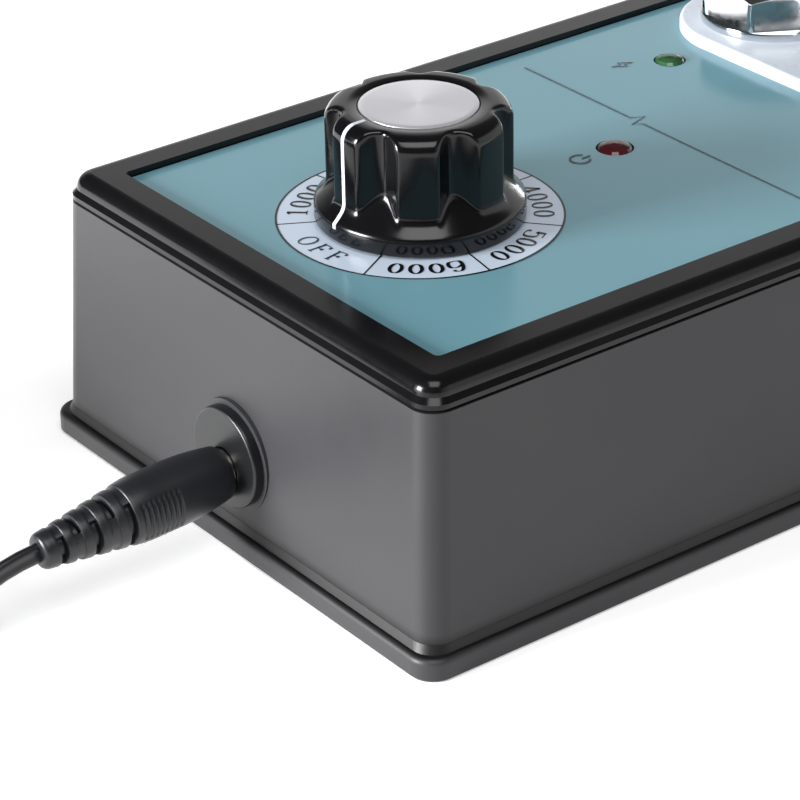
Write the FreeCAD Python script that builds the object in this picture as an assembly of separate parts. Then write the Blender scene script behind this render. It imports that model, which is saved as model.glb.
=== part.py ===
"""A bench tester for spark plugs: a flanged plastic box with a speed knob, three lamps,
two plug sockets on a white plate, and a moulded supply lead in the front wall.

Frame: the operator stands at -Y, +X is to the right, +Z is up. The origin is on the
resting face, under the middle of the box. Lengths are millimetres, angles degrees.
"""
import FreeCAD, Part
import math
import os

V = FreeCAD.Vector
UP = V(0, 0, 1)
TO_OPERATOR = V(0, -1, 0)

# Box
box_width = 85.2
box_length = 138.0
flange_height = 3.2
flange_out = 1.4
flange_round = 0.8
foot_fillet = 1.1
corner_radius = 3.3
wall_draft = 2.6
wall = 2.4
floor = 2.6
seam_z = 35.1

# Cover
cover_band = 1.1
seam_groove = 0.45
ledge_in = 0.55
ledge_rise = 0.7
cover_top = 39.0
cover_round = 2.0
cover_thickness = 2.2
recess_depth = 1.2
border = 6.0
lip_depth = 2.4
lip_wall = 1.4
fit_gap = 0.2

# Case screws and their posts
post_radius = 3.6
post_inset = 4.4
boss_top = 14.0
screw_radius = 1.5
screw_head_radius = 2.8
screw_head_height = 2.0
screw_seat = 3.4
screw_length = 20.0

# Panel
label_thickness = 0.3
knob_to_front = 32.4
power_led_to_knob = 33.1
socket_x = 18.0
socket_to_back = 27.3
signal_led_to_plate = 6.3
power_led_radius = 2.4
signal_led_radius = 2.1
led_proud = 0.7
led_flange = 0.5
led_flange_depth = 1.2
led_leg_spread = 2.54

# Knob
knob_height = 15.7
knob_gap = 0.4
skirt_radius = 13.75
skirt_height = 2.8
lobe_radius = 12.1
lobe_count = 7
flute_depth = 2.1
flute_radius = 2.8
shoulder = 2.0
cone_top = 7.2
cone_top_radius = 9.4
cap_radius = 7.85
cap_thickness = 0.8
pointer_width = 0.9
pointer_depth = 0.5
pointer_start = 8.7
hub_bore = 3.05
hub_depth = 12.5
nut_room_radius = 8.0
nut_room_height = 4.2
set_screw_radius = 1.5
set_screw_z = 8.2

# Potentiometer
pot_radius = 8.2
pot_depth = 9.0
bush_radius = 3.5
bush_proud = 3.4
shaft_radius = 3.0
shaft_flat = 0.9
shaft_clearance = 0.15
pot_nut_flats = 10.0
pot_nut_height = 2.0
pot_washer_radius = 6.0
pot_washer_height = 0.6
pot_tag = (1.2, 0.5, 6.0)
pot_tag_drop = 6.0
pot_tag_places = (-5.0, 0.0, 5.0)

# Sockets
plate_radius = 13.2
plate_thickness = 1.7
plate_round = 0.6
collar_flange_radius = 10.2
collar_flange_height = 1.2
collar_flats = 17.6
collar_height = 5.0
collar_bore = 6.6
collar_chamfer = 1.0
bush_outer = 8.2
bush_length = 10.0
clamp_nut_flats = 22.0
clamp_nut_height = 2.6
sleeve_ease = 0.4
sleeve_wall = 1.5
sleeve_floor = 1.4
contact_tag_width = 2.6
contact_tag_reach = 3.0
contact_travel = 2.0
contact_height = 3.0
contact_gap = 0.3
base_height = 0.8
spring_length = 5.2
spring_radius = 4.0
spring_wire = 0.35
spring_turns = 3

# Supply jack and plug
jack_z = 13.5
bore_drop = 1.5
jack_radius = 6.9
jack_flange = 1.4
jack_barrel = 4.8
jack_depth = 10.5
jack_bore = 2.95
jack_bore_depth = 9.5
jack_pin = 1.0
jack_tag = (2.0, 4.5, 0.5)
jack_tag_x = 2.6
jack_tag_rises = (1.0, -2.0)
jack_nut_flats = 13.6
jack_nut_height = 2.0
pad_radius = 7.6
plug_drop = 0.35
plug_gap = 0.5
plug_nose = 3.6
plug_radius = 4.4
plug_length = 15.2
plug_tilt = 3.3
relief_length = 12.5
relief_start = 4.1
relief_end = 2.4
relief_rings = 5
relief_groove = 0.6
barrel_radius = 2.75
barrel_bore = 1.3
barrel_length = 9.4
barrel_seat = 1.0
grip_ribs = 8
grip_start = 8.4
rib_pitch = 0.75

# Supply lead and its adapter
cord_radius = 1.4
cord_gap = 0.45
coil_outer = 20.2
coil_centre = (-24.0, -138.0)
coil_lift = 0.7
tie_thickness = 0.6
tie_width = 5.0
adapter_size = (54.0, 26.0, 38.0)
adapter_relief = 9.0
adapter_offset = 8.0
prong_size = (6.3, 16.0, 1.5)
prong_spread = 12.7

# Board, placed between the jack and the sockets
board_width = 60.0
board_thickness = 1.6
board_to_front = 17.0
board_to_sockets = 17.7
board_z = 8.0
board_inset = 4.0
standoff_radius = 3.0
board_screw_head = (2.6, 1.6)
wire_radius = 0.7

# High-tension coils, placed ahead of the signal lamps
coil_block = (17.5, 22.0, 19.0)
coil_block_x = 12.6
coil_block_to_lamps = 14.0
high_post_radius = 2.6
high_post_length = 2.2
high_post_x = 11.0
high_post_rise = 7.0
high_wire_radius = 1.3

# What stands on the board: places are X and the distance from its front edge
big_can = (5.0, 15.3)
big_can_place = (-19.0, 28.0)
small_cans = (((-8.0, 32.0), 3.2, 11.0), ((-24.0, 12.0), 4.0, 11.5))
film_block = (4.0, 12.0, 9.0)
film_place = (-6.0, 21.0)
sink_plate = (2.0, 22.0, 15.0)
sink_place = (24.0, 16.0)
fin_size = (4.2, 1.2)
fin_count = 5
switch_case = (3.2, 10.0, 9.0)
switch_tab = (1.3, 10.0, 15.0)
switch_place = 22.0
switch_rise = 2.0
chip_size = (6.4, 9.6, 3.3)
chip_place = (4.0, 25.0)
chip_rise = 0.9
chip_leg = 0.8
leg_pitch = 2.54
resistor_radius = 1.2
resistor_length = 6.4
resistor_place = (2.0, 10.0)
resistor_pitch = 3.0
resistor_count = 5
resistor_leg = 0.36
resistor_wire = 0.3

# Places worked out from the sizes above
half_width = box_width / 2
half_length = box_length / 2
front = -half_length
knob_y = front + knob_to_front
power_led_y = knob_y + power_led_to_knob
socket_y = half_length - socket_to_back
signal_led_y = socket_y - plate_radius - signal_led_to_plate
board_front = front + board_to_front
board_back = socket_y - board_to_sockets
board_top = board_z + board_thickness
coil_block_y = signal_led_y - coil_block_to_lamps


def wall_inset(z):
    """How far the outer wall stands inside the flange edge at height z."""
    return flange_out + math.tan(math.radians(wall_draft)) * (z - flange_height)


seam_inset = wall_inset(seam_z)
recess_z = cover_top - recess_depth
label_z = recess_z + label_thickness
cover_under = recess_z - cover_thickness
plate_top = label_z + plate_thickness
collar_seat = plate_top + collar_flange_height
collar_top = collar_seat + collar_height
sleeve_top = plate_top - bush_length
sleeve_bottom = floor + contact_gap
base_z = sleeve_bottom + sleeve_floor
spring_z = base_z + base_height
contact_z = spring_z + spring_length
sleeve_bore = collar_bore + sleeve_ease
sleeve_outer = sleeve_bore + sleeve_wall
pad_y = front + wall_inset(jack_z - jack_radius)
jack_face_y = pad_y - jack_flange
bore_z = jack_z - bore_drop
plug_end_y = jack_face_y - plug_gap
plug_z = bore_z - plug_drop
knob_base = label_z + knob_gap
knob_top = label_z + knob_height


def rounded_wire(half_x, half_y, radius, z):
    """A rectangle with round corners, centred on the Z axis at height z."""
    edges = []
    turn = math.cos(math.radians(45)) * radius
    corners = [(1, 1, 0), (-1, 1, 90), (-1, -1, 180), (1, -1, 270)]
    arcs = []
    for sx, sy, start in corners:
        cx = sx * (half_x - radius)
        cy = sy * (half_y - radius)
        points = []
        for angle in (start, start + 45, start + 90):
            a = math.radians(angle)
            points.append(V(cx + radius * math.cos(a), cy + radius * math.sin(a), z))
        arcs.append(points)
    for i, points in enumerate(arcs):
        edges.append(Part.Arc(points[0], points[1], points[2]).toShape())
        nxt = arcs[(i + 1) % 4][0]
        if points[2].distanceToPoint(nxt) > 1e-6:
            edges.append(Part.LineSegment(points[2], nxt).toShape())
    return Part.Wire(edges)


def rounded_block(half_x, half_y, radius, z, height):
    return Part.Face(rounded_wire(half_x, half_y, radius, z)).extrude(V(0, 0, height))


def box_loft(inset_low, radius_low, z_low, inset_high, radius_high, z_high):
    """A tapered block between two outlines, each set in from the flange edge."""
    low = rounded_wire(half_width - inset_low, half_length - inset_low, radius_low, z_low)
    high = rounded_wire(half_width - inset_high, half_length - inset_high, radius_high, z_high)
    return Part.makeLoft([low, high], True, True)


def level_edges(shape, z):
    """The edges of a shape that lie wholly at height z."""
    return [e for e in shape.Edges
            if abs(e.BoundBox.ZMin - z) < 1e-4 and abs(e.BoundBox.ZMax - z) < 1e-4]


def rod(radius, x, y, z, height):
    return Part.makeCylinder(radius, height, V(x, y, z))


def rod_y(radius, x, y, z, length):
    """A cylinder that starts at y and runs toward the back."""
    return Part.makeCylinder(radius, length, V(x, y, z), V(0, 1, 0))


def block(x, y, z, size):
    """A block with the middle of its underside at x, y, z."""
    return Part.makeBox(size[0], size[1], size[2], V(x - size[0] / 2, y - size[1] / 2, z))


def hexagon(flats, x, y, z, height):
    """A hexagonal prism with two flats facing front and back."""
    corner = flats / math.sqrt(3)
    points = [V(x + corner * math.cos(math.radians(a)), y + corner * math.sin(math.radians(a)), z)
              for a in range(0, 361, 60)]
    return Part.Face(Part.makePolygon(points)).extrude(V(0, 0, height))


def hexagon_y(flats, x, y, z, length):
    nut = hexagon(flats, 0, 0, 0, length)
    nut.rotate(V(0, 0, 0), V(1, 0, 0), -90)
    nut.translate(V(x, y, z))
    return nut


def revolve(profile, x=0.0, y=0.0, z=0.0):
    """Turn a closed outline of (radius, height) points about a vertical axis."""
    points = [V(r, 0, h) for r, h in profile]
    points.append(points[0])
    solid = Part.Face(Part.makePolygon(points)).revolve(V(0, 0, 0), UP, 360)
    solid.translate(V(x, y, z))
    return solid


def group(shapes):
    return Part.makeCompound(shapes)


def arc_edge(start, corner, end):
    """The arc from start to end whose end tangents meet at corner."""
    chord = (end - start) * 0.5
    middle = start + chord
    reach = corner - middle
    leg = (corner - start).Length
    if reach.Length < 1e-6 * max(leg, 1e-6):
        return Part.LineSegment(start, end).toShape()
    half = math.atan2(reach.Length, chord.Length)
    radius = chord.Length / math.sin(half)
    rise = radius * (1 - math.cos(half))
    top = middle + reach * (rise / reach.Length)
    return Part.Arc(start, top, end).toShape()


def run_path(points, share=0.45):
    """Straight runs joined by arcs that touch them; gives the wire and its radii."""
    points = [V(*p) for p in points]
    edges = []
    radii = []
    at = points[0]
    for before, corner, after in zip(points, points[1:], points[2:]):
        back = before - corner
        ahead = after - corner
        reach = share * min(back.Length, ahead.Length)
        turn = math.pi - back.getAngle(ahead)
        start = corner + back * (reach / back.Length)
        end = corner + ahead * (reach / ahead.Length)
        radii.append(reach / math.tan(turn / 2))
        edges.append(Part.LineSegment(at, start).toShape())
        edges.append(arc_edge(start, corner, end))
        at = end
    edges.append(Part.LineSegment(at, points[-1]).toShape())
    return Part.Wire(edges), radii


def sweep(wire, radius):
    """A round rod along a wire of straight runs and arcs."""
    first = wire.OrderedEdges[0]
    start = first.valueAt(first.FirstParameter)
    way = first.tangentAt(first.FirstParameter)
    section = Part.Wire([Part.makeCircle(radius, start, way)])
    return wire.makePipeShell([section], True, False)


def biarc(p0, t0, p1, t1):
    """Two arcs from p0 to p1 that leave along t0 and arrive along t1."""
    span = p1 - p0
    both = t0 + t1
    bend = 2 * (1 - t0.dot(t1))
    along = span.dot(both)
    if bend < 1e-9:
        leg = span.dot(span) / (2 * along)
    else:
        leg = (-along + math.sqrt(along * along + bend * span.dot(span))) / bend
    q0 = p0 + t0 * leg
    q1 = p1 - t1 * leg
    joint = (q0 + q1) * 0.5
    return [arc_edge(p0, q0, joint), arc_edge(joint, q1, p1)]


def make_housing():
    """The tub: a flanged floor, drafted walls, screw bosses, standoffs and the jack pad."""
    flange = rounded_block(half_width, half_length, corner_radius + 0.2, 0, flange_height)
    flange = flange.makeFillet(flange_round, level_edges(flange, flange_height))
    flange = flange.makeChamfer(0.4, level_edges(flange, 0))
    shell = box_loft(flange_out, corner_radius, flange_height,
                     seam_inset, corner_radius, seam_z)
    foot = box_loft(flange_out - foot_fillet * 0.45, corner_radius, flange_height - flange_round * 0.3,
                    flange_out + 0.02, corner_radius, flange_height + foot_fillet)
    body = flange.fuse([foot, shell])
    low_inner = wall_inset(floor) + wall
    high_inner = seam_inset + wall
    hollow = box_loft(low_inner, 1.2, floor, high_inner, 1.2, seam_z + 0.01)
    body = body.cut(hollow)
    inside = box_loft(low_inner - 0.6, 1.2, floor - 0.2, high_inner - 0.6, 1.2, seam_z)
    posts = []
    for x, y in post_places():
        posts.append(rod(post_radius, x, y, floor - 0.2, boss_top - floor + 0.2))
    for x, y in board_screw_places():
        posts.append(rod(standoff_radius, x, y, floor - 0.2, board_z - floor + 0.2))
    body = body.fuse([post.common(inside) for post in posts])
    pad_depth = wall + wall_inset(jack_z + pad_radius) - wall_inset(jack_z - jack_radius)
    body = body.fuse(rod_y(pad_radius, 0, pad_y, jack_z, pad_depth))
    for x, y in post_places():
        body = body.cut(rod(screw_radius + 0.2, x, y, -1, boss_top + 2))
        body = body.cut(rod(screw_head_radius + 0.2, x, y, -1, screw_seat + 1))
    for x, y in board_screw_places():
        body = body.cut(rod(screw_radius - 0.3, x, y, floor + 1, board_z))
    return body.cut(rod_y(jack_barrel + 0.1, 0, front - 1, bore_z, 12)).removeSplitter()


def post_places():
    x = half_width - seam_inset - wall - post_inset
    y = half_length - seam_inset - wall - post_inset
    return [(sx * x, sy * y) for sx in (-1, 1) for sy in (-1, 1)]


def board_screw_places():
    x = board_width / 2 - board_inset
    return [(sx * x, y) for sx in (-1, 1)
            for y in (board_front + board_inset, board_back - board_inset)]


def led_places():
    return [("led_power", 0.0, power_led_y, power_led_radius),
            ("led_signal_left", -socket_x, signal_led_y, signal_led_radius),
            ("led_signal_right", socket_x, signal_led_y, signal_led_radius)]


def make_cover():
    """The lid: a beaded rim, a shallow label recess, screw posts and a locating lip."""
    band_top = seam_z + cover_band
    ledge_top = band_top + ledge_rise
    upper = seam_inset + ledge_in
    bead_low = seam_z + seam_groove
    groove = box_loft(seam_inset + seam_groove, corner_radius - seam_groove, seam_z,
                      seam_inset, corner_radius, bead_low)
    band = box_loft(seam_inset, corner_radius, bead_low, seam_inset, corner_radius, band_top)
    ledge = box_loft(seam_inset, corner_radius, band_top, upper, corner_radius - 0.3, ledge_top)
    top = rounded_block(half_width - upper, half_length - upper, corner_radius - 0.3,
                        ledge_top, cover_top - ledge_top)
    top = top.makeFillet(cover_round, level_edges(top, cover_top))
    body = band.fuse([groove, ledge, top])
    recess = seam_inset + border
    body = body.cut(rounded_block(half_width - recess, half_length - recess, 0.8,
                                  recess_z, recess_depth + 1))
    lip_inset = seam_inset + wall + fit_gap
    room = lip_inset + lip_wall
    body = body.cut(box_loft(room, 1.0, seam_z - 1, room, 1.0, cover_under))
    lip = box_loft(lip_inset, 1.0, seam_z - lip_depth, lip_inset, 1.0, seam_z + 0.2)
    lip = lip.cut(box_loft(room, 1.0, seam_z - lip_depth - 1, room, 1.0, seam_z + 1))
    body = body.fuse(lip)
    post_foot = boss_top + fit_gap
    for x, y in post_places():
        body = body.fuse(rod(post_radius, x, y, post_foot, cover_under + 0.5 - post_foot))
    hole = screw_radius - 0.15
    for x, y in post_places():
        body = body.cut(rod(hole, x, y, post_foot - 1, screw_seat + screw_length - post_foot + 2))
    for cutter in panel_holes(fit_gap, cover_under - 1, 6):
        body = body.cut(cutter)
    return body.removeSplitter()


def panel_holes(clearance, z, height):
    """One drill for each thing that comes up through the panel."""
    holes = [rod(bush_radius + clearance, 0, knob_y, z, height)]
    for _, x, y, radius in led_places():
        holes.append(rod(radius + clearance, x, y, z, height))
    for side in (-1, 1):
        holes.append(rod(bush_outer + clearance, side * socket_x, socket_y, z, height))
    return holes


def make_label():
    inset = seam_inset + border + fit_gap
    sheet = rounded_block(half_width - inset, half_length - inset, 0.5,
                          recess_z, label_thickness)
    for cutter in panel_holes(fit_gap, recess_z - 1, 3):
        sheet = sheet.cut(cutter)
    return sheet


def make_plate():
    """The white plate with round ends that carries both sockets."""
    half_x = socket_x + plate_radius
    r = plate_radius
    left = V(-socket_x, socket_y, label_z)
    right = V(socket_x, socket_y, label_z)
    edges = [Part.Arc(right - V(0, r, 0), right + V(r, 0, 0), right + V(0, r, 0)).toShape(),
             Part.LineSegment(right + V(0, r, 0), left + V(0, r, 0)).toShape(),
             Part.Arc(left + V(0, r, 0), V(-half_x, socket_y, label_z), left - V(0, r, 0)).toShape(),
             Part.LineSegment(left - V(0, r, 0), right - V(0, r, 0)).toShape()]
    plate = Part.Face(Part.Wire(edges)).extrude(V(0, 0, plate_thickness))
    plate = plate.makeFillet(plate_round, level_edges(plate, plate_top))
    for side in (-1, 1):
        plate = plate.cut(rod(bush_outer + fit_gap, side * socket_x, socket_y, label_z - 1, 4))
    return plate


def make_collar(x):
    """A plug socket: a chamfered hexagon on a round flange, over a threaded bush."""
    corner = collar_flats / math.sqrt(3)
    head = hexagon(collar_flats, x, socket_y, collar_seat, collar_height)
    slope = math.tan(math.radians(30))
    dome = revolve([(0, -1), (corner + 2, -1), (corner + 2, collar_height - 2 * collar_chamfer * slope),
                    (corner - collar_chamfer, collar_height), (0, collar_height)],
                   x, socket_y, collar_seat)
    head = head.common(dome)
    flange = rod(collar_flange_radius, x, socket_y, plate_top, collar_flange_height)
    flange = flange.makeChamfer(0.3, level_edges(flange, collar_seat))
    bush = rod(bush_outer, x, socket_y, sleeve_top, plate_top - sleeve_top + 0.2)
    bore = revolve([(0, sleeve_top - 1), (collar_bore, sleeve_top - 1),
                    (collar_bore, collar_top - 0.8), (collar_bore + 0.9, collar_top + 0.1),
                    (0, collar_top + 0.1)], x, socket_y)
    return head.fuse([flange, bush]).cut(bore).removeSplitter()


def make_clamp_nuts():
    nuts = []
    for side in (-1, 1):
        x = side * socket_x
        nut = hexagon(clamp_nut_flats, x, socket_y, cover_under - clamp_nut_height, clamp_nut_height)
        nuts.append(nut.cut(rod(bush_outer + 0.02, x, socket_y, cover_under - 9, 12)))
    return group(nuts)


def make_sleeve(x):
    """The insulating well under a socket, with a slot for the high-tension tag."""
    well = rod(sleeve_outer, x, socket_y, sleeve_bottom, sleeve_top - sleeve_bottom)
    well = well.cut(rod(sleeve_bore, x, socket_y, base_z, sleeve_top))
    slot = (contact_tag_width + 2 * fit_gap, 2 * sleeve_wall + 2.0, 3.0)
    return well.cut(block(x, socket_y - sleeve_outer, base_z, slot))


def make_contact_base(x):
    disc = rod(sleeve_bore - fit_gap, x, socket_y, base_z, base_height)
    reach = sleeve_outer + contact_tag_reach
    tag = block(x, socket_y - reach / 2, base_z, (contact_tag_width, reach, base_height))
    return disc.fuse(tag)


def make_contact(x):
    """The sprung cup that a plug's terminal pushes down."""
    radius = sleeve_bore - contact_gap
    return revolve([(0, 0), (radius, 0), (radius, contact_height - 0.5),
                    (radius - 0.5, contact_height), (3.4, contact_height), (2.2, 1.4), (0, 1.4)],
                   x, socket_y, contact_z)


def make_spring(x):
    """A helix of quarter turns with one wire, from the base to the cup."""
    steps = spring_turns * 4
    rise = (spring_length - 2 * spring_wire) / steps
    points = []
    ways = []
    for k in range(steps + 1):
        a = math.radians(90 * k)
        points.append(V(x + spring_radius * math.cos(a), socket_y + spring_radius * math.sin(a),
                        spring_z + spring_wire + rise * k))
        way = V(-math.sin(a), math.cos(a), rise * 2 / (math.pi * spring_radius))
        ways.append(way.normalize())
    edges = []
    for k in range(steps):
        edges += biarc(points[k], ways[k], points[k + 1], ways[k + 1])
    return sweep(Part.Wire(edges), spring_wire)


def knob_outline():
    """Half the knob's outline above its skirt, as heights over the panel."""
    step = math.radians(30)
    rim = lobe_radius - shoulder
    crown = knob_height - shoulder
    round_top = [(rim + shoulder * math.cos(step * k), crown + shoulder * math.sin(step * k))
                 for k in range(0, 4)]
    return [(skirt_radius, knob_gap), (skirt_radius, skirt_height),
            (lobe_radius, skirt_height + skirt_radius - lobe_radius)] + round_top


def make_knob():
    """The fluted knob: a skirt, a cone, seven flutes, a bore and a seat for its cap."""
    outline = knob_outline()
    lobes = revolve([(0, skirt_height - 0.5), (lobe_radius, skirt_height - 0.5)] + outline[3:]
                    + [(0, knob_height)], 0, knob_y, label_z)
    for k in range(lobe_count):
        a = math.radians(-90 + (k + 0.5) * 360 / lobe_count)
        reach = lobe_radius - flute_depth + flute_radius
        lobes = lobes.cut(rod(flute_radius, reach * math.cos(a), knob_y + reach * math.sin(a),
                              label_z, knob_height + 1))
    skirt = revolve([(0, knob_gap), (skirt_radius - 0.3, knob_gap), (skirt_radius, knob_gap + 0.3),
                     (skirt_radius, skirt_height),
                     (skirt_radius - 1.65, skirt_height + 1.65),
                     (cone_top_radius, cone_top), (0, cone_top)],
                    0, knob_y, label_z)
    body = lobes.fuse(skirt)
    body = body.cut(rod(cap_radius + 0.05, 0, knob_y, knob_top - cap_thickness, 2))
    body = body.cut(rod(nut_room_radius, 0, knob_y, label_z - 1, nut_room_height + 1))
    body = body.cut(shaft_bar(hub_bore, label_z, hub_depth))
    screw_reach = lobe_radius + 2
    body = body.cut(rod_y(set_screw_radius, 0, knob_y + 1, label_z + set_screw_z, screw_reach))
    return body.cut(make_pointer()).removeSplitter()


def shaft_bar(radius, z, height):
    """The pot's shaft with its flat, or a bore that fits it."""
    bar = rod(radius, 0, knob_y, z, height)
    flat_y = knob_y + radius - shaft_flat
    return bar.cut(Part.makeBox(2 * radius, radius, height, V(-radius, flat_y, z)))


def make_pointer():
    """The inlaid white line: over the shoulder, down one lobe and out along the skirt."""
    outline = knob_outline()
    skin = revolve([(pointer_start, knob_height + 0.02)] + outline[:0:-1]
                   + [(skirt_radius - 0.2, skirt_height - pointer_depth),
                      (lobe_radius - pointer_depth, skirt_height + 1.2),
                      (lobe_radius - pointer_depth, knob_height - shoulder),
                      (pointer_start, knob_height - pointer_depth)], 0, knob_y, label_z)
    slab = Part.makeBox(pointer_width, skirt_radius + 1, knob_height + 2,
                        V(-pointer_width / 2, knob_y - skirt_radius - 1, label_z))
    return skin.common(slab)


def make_cap():
    cap = rod(cap_radius, 0, knob_y, knob_top - cap_thickness, cap_thickness)
    return cap.makeChamfer(0.15, level_edges(cap, knob_top))


def make_set_screw():
    start = knob_y + hub_bore - shaft_flat + 0.05
    screw = rod_y(set_screw_radius - 0.02, 0, start, label_z + set_screw_z, 5.0)
    return screw.cut(hexagon_y(1.5, 0, start + 3.4, label_z + set_screw_z, 2.0))


def make_shaft():
    top = shaft_bar(shaft_radius, label_z, hub_depth - 0.3)
    return top.fuse(rod(shaft_radius, 0, knob_y, cover_under - 2.0, label_z - cover_under + 2.1))


def make_pot():
    """The potentiometer can with its threaded bush and solder tags."""
    can = rod(pot_radius, 0, knob_y, cover_under - pot_depth, pot_depth)
    can = can.makeFillet(0.8, level_edges(can, cover_under - pot_depth))
    bush = rod(bush_radius, 0, knob_y, cover_under - 0.1, label_z + bush_proud - cover_under + 0.1)
    body = can.fuse(bush)
    bore = shaft_radius + shaft_clearance
    body = body.cut(rod(bore, 0, knob_y, cover_under - 2.0 - shaft_clearance, 12))
    width, thick, reach = pot_tag
    tags = [Part.makeBox(width, reach, thick,
                         V(x - width / 2, knob_y - pot_radius - reach + 2, cover_under - pot_tag_drop))
            for x in pot_tag_places]
    return body.fuse(tags)


def make_pot_nut():
    washer = rod(pot_washer_radius, 0, knob_y, label_z, pot_washer_height)
    nut = hexagon(pot_nut_flats, 0, knob_y, label_z + pot_washer_height, pot_nut_height)
    return washer.fuse(nut).cut(rod(bush_radius + 0.02, 0, knob_y, label_z - 1, 8))


def make_led(x, y, radius):
    """A round lamp: a low dome over the panel and a collar under the cover."""
    dome_base = label_z + led_proud - radius * 0.35
    steps = [math.radians(a) for a in (0, 30, 60, 90)]
    dome = [(radius * math.cos(a), dome_base + radius * 0.35 * math.sin(a)) for a in steps]
    foot = cover_under - led_flange_depth
    flange = radius + led_flange
    return revolve([(0, foot), (flange, foot), (flange, cover_under), (radius, cover_under)]
                   + dome[:-1] + [(0, dome[-1][1])], x, y)


def make_led_leads():
    leads = []
    top = cover_under - led_flange_depth
    for _, x, y, _ in led_places():
        for side in (-0.5, 0.5):
            leads.append(rod(wire_radius, x + side * led_leg_spread, y, board_top, top - board_top))
    return group(leads)


def make_jack():
    """The panel jack: an outer flange, a threaded barrel and a centre pin in its bore."""
    body = rod_y(jack_radius, 0, jack_face_y, jack_z, jack_flange)
    rim = [e for e in body.Edges if abs(e.BoundBox.YMax - jack_face_y) < 1e-4
           and e.BoundBox.YLength < 1e-4]
    body = body.makeFillet(0.4, rim)
    body = body.fuse(rod_y(jack_barrel, 0, pad_y - 0.1, bore_z, jack_depth + 0.1))
    body = body.cut(rod_y(jack_bore, 0, jack_face_y - 1, bore_z, jack_bore_depth + 1))
    pin_length = jack_bore_depth - 1.2
    body = body.fuse(rod_y(jack_pin, 0, jack_face_y + 1.2, bore_z, pin_length + 0.2))
    back = pad_y + jack_depth
    for side, rise in zip((-1, 1), jack_tag_rises):
        corner = V(side * jack_tag_x - jack_tag[0] / 2, back - 0.1, jack_z + rise)
        body = body.fuse(Part.makeBox(jack_tag[0], jack_tag[1] + 0.1, jack_tag[2], corner))
    return body.removeSplitter()


def make_jack_nut():
    inner = pad_y + wall + wall_inset(jack_z + pad_radius) - wall_inset(jack_z - jack_radius)
    nut = hexagon_y(jack_nut_flats, 0, inner, bore_z, jack_nut_height)
    return nut.cut(rod_y(jack_barrel + 0.02, 0, inner - 2, bore_z, 8))


def lathe_y(profile, y, z):
    """Turn (radius, distance toward the operator) points about the lead's axis."""
    solid = revolve(profile)
    solid.rotate(V(0, 0, 0), V(1, 0, 0), 90)
    solid.translate(V(0, y, z))
    return solid


def along_plug(distance):
    """A point on the plug's axis, which droops a little from the jack."""
    tilt = math.radians(plug_tilt)
    return (0.0, plug_end_y - distance * math.cos(tilt), plug_z - distance * math.sin(tilt))


def make_plug():
    """The moulded plug body, narrow at the jack, with ribbed finger flats on both sides."""
    r = plug_radius
    n = plug_length
    nose = plug_nose
    body = lathe_y([(0, 0), (nose - 0.3, 0), (nose, 0.3), (nose + 0.35, 2.5), (r - 0.25, 5.6),
                    (r, 8.2), (r, n - 3.2), (r - 0.15, n - 0.8), (relief_start, n), (0, n)],
                   plug_end_y, plug_z)
    for side in (-1, 1):
        for k in range(grip_ribs):
            y = plug_end_y - grip_start - rib_pitch * k
            body = body.cut(Part.makeBox(1.0, rib_pitch * 0.45, 4.6,
                                         V(side * (r + 0.1) - 0.5, y, plug_z - 2.9)))
    body.rotate(V(0, plug_end_y, plug_z), V(1, 0, 0), plug_tilt)
    return body.cut(rod_y(barrel_radius, 0, plug_end_y - barrel_seat, bore_z, 3 * barrel_seat))


def make_barrel():
    """The plug's sleeve, which reaches from the body into the jack over its centre pin."""
    length = barrel_length + 0.2
    sleeve = rod_y(barrel_radius, 0, plug_end_y - barrel_seat, bore_z, barrel_seat + length)
    return sleeve.cut(rod_y(barrel_bore, 0, plug_end_y + 0.2, bore_z, length + 2))


def make_relief():
    """The tapered strain relief, a core with round rings, in line with the plug."""
    profile = [(0, -1.0), (relief_start - 0.3, -1.0)]
    pitch = relief_length / relief_rings
    for k in range(relief_rings):
        share = k / (relief_rings - 1)
        ring = relief_start + (relief_end - relief_start) * share
        core = ring - relief_groove
        near = pitch * k
        profile += [(ring - 0.3, near), (ring, near + 0.35), (ring - 0.1, near + pitch * 0.55),
                    (ring - 0.4, near + pitch * 0.68)]
        if k < relief_rings - 1:
            profile += [(core, near + pitch * 0.72), (core, near + pitch)]
    profile += [(relief_end - 0.3, relief_length - 0.4), (relief_end - 0.8, relief_length),
                (0, relief_length)]
    relief = lathe_y(profile, plug_end_y - plug_length, plug_z)
    relief = relief.cut(Part.makeBox(20, 5, 20, V(-10, plug_end_y - plug_length, plug_z - 10)))
    relief.rotate(V(0, plug_end_y, plug_z), V(1, 0, 0), plug_tilt)
    return relief


def lead_exit():
    """Where the lead comes out of the strain relief."""
    return along_plug(plug_length + relief_length)


def coil_layer():
    return 2 * cord_radius + cord_gap


def coil_start():
    return (coil_centre[0] + coil_outer, coil_centre[1], cord_radius + coil_lift)


def coil_steps():
    """Quarter turns as (change of radius, change of height): in, up, out, up, in, up, out."""
    step = coil_layer() / 4
    lift = coil_layer() / 2
    steps = [(-step, 0)] * 10 + [(-step, lift), (step, lift)] + [(step, 0)] * 8
    steps += [(step, lift), (-step, lift)] + [(-step, 0)] * 8
    return steps + [(-step, lift), (step, lift)] + [(step, 0)] * 9


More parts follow.
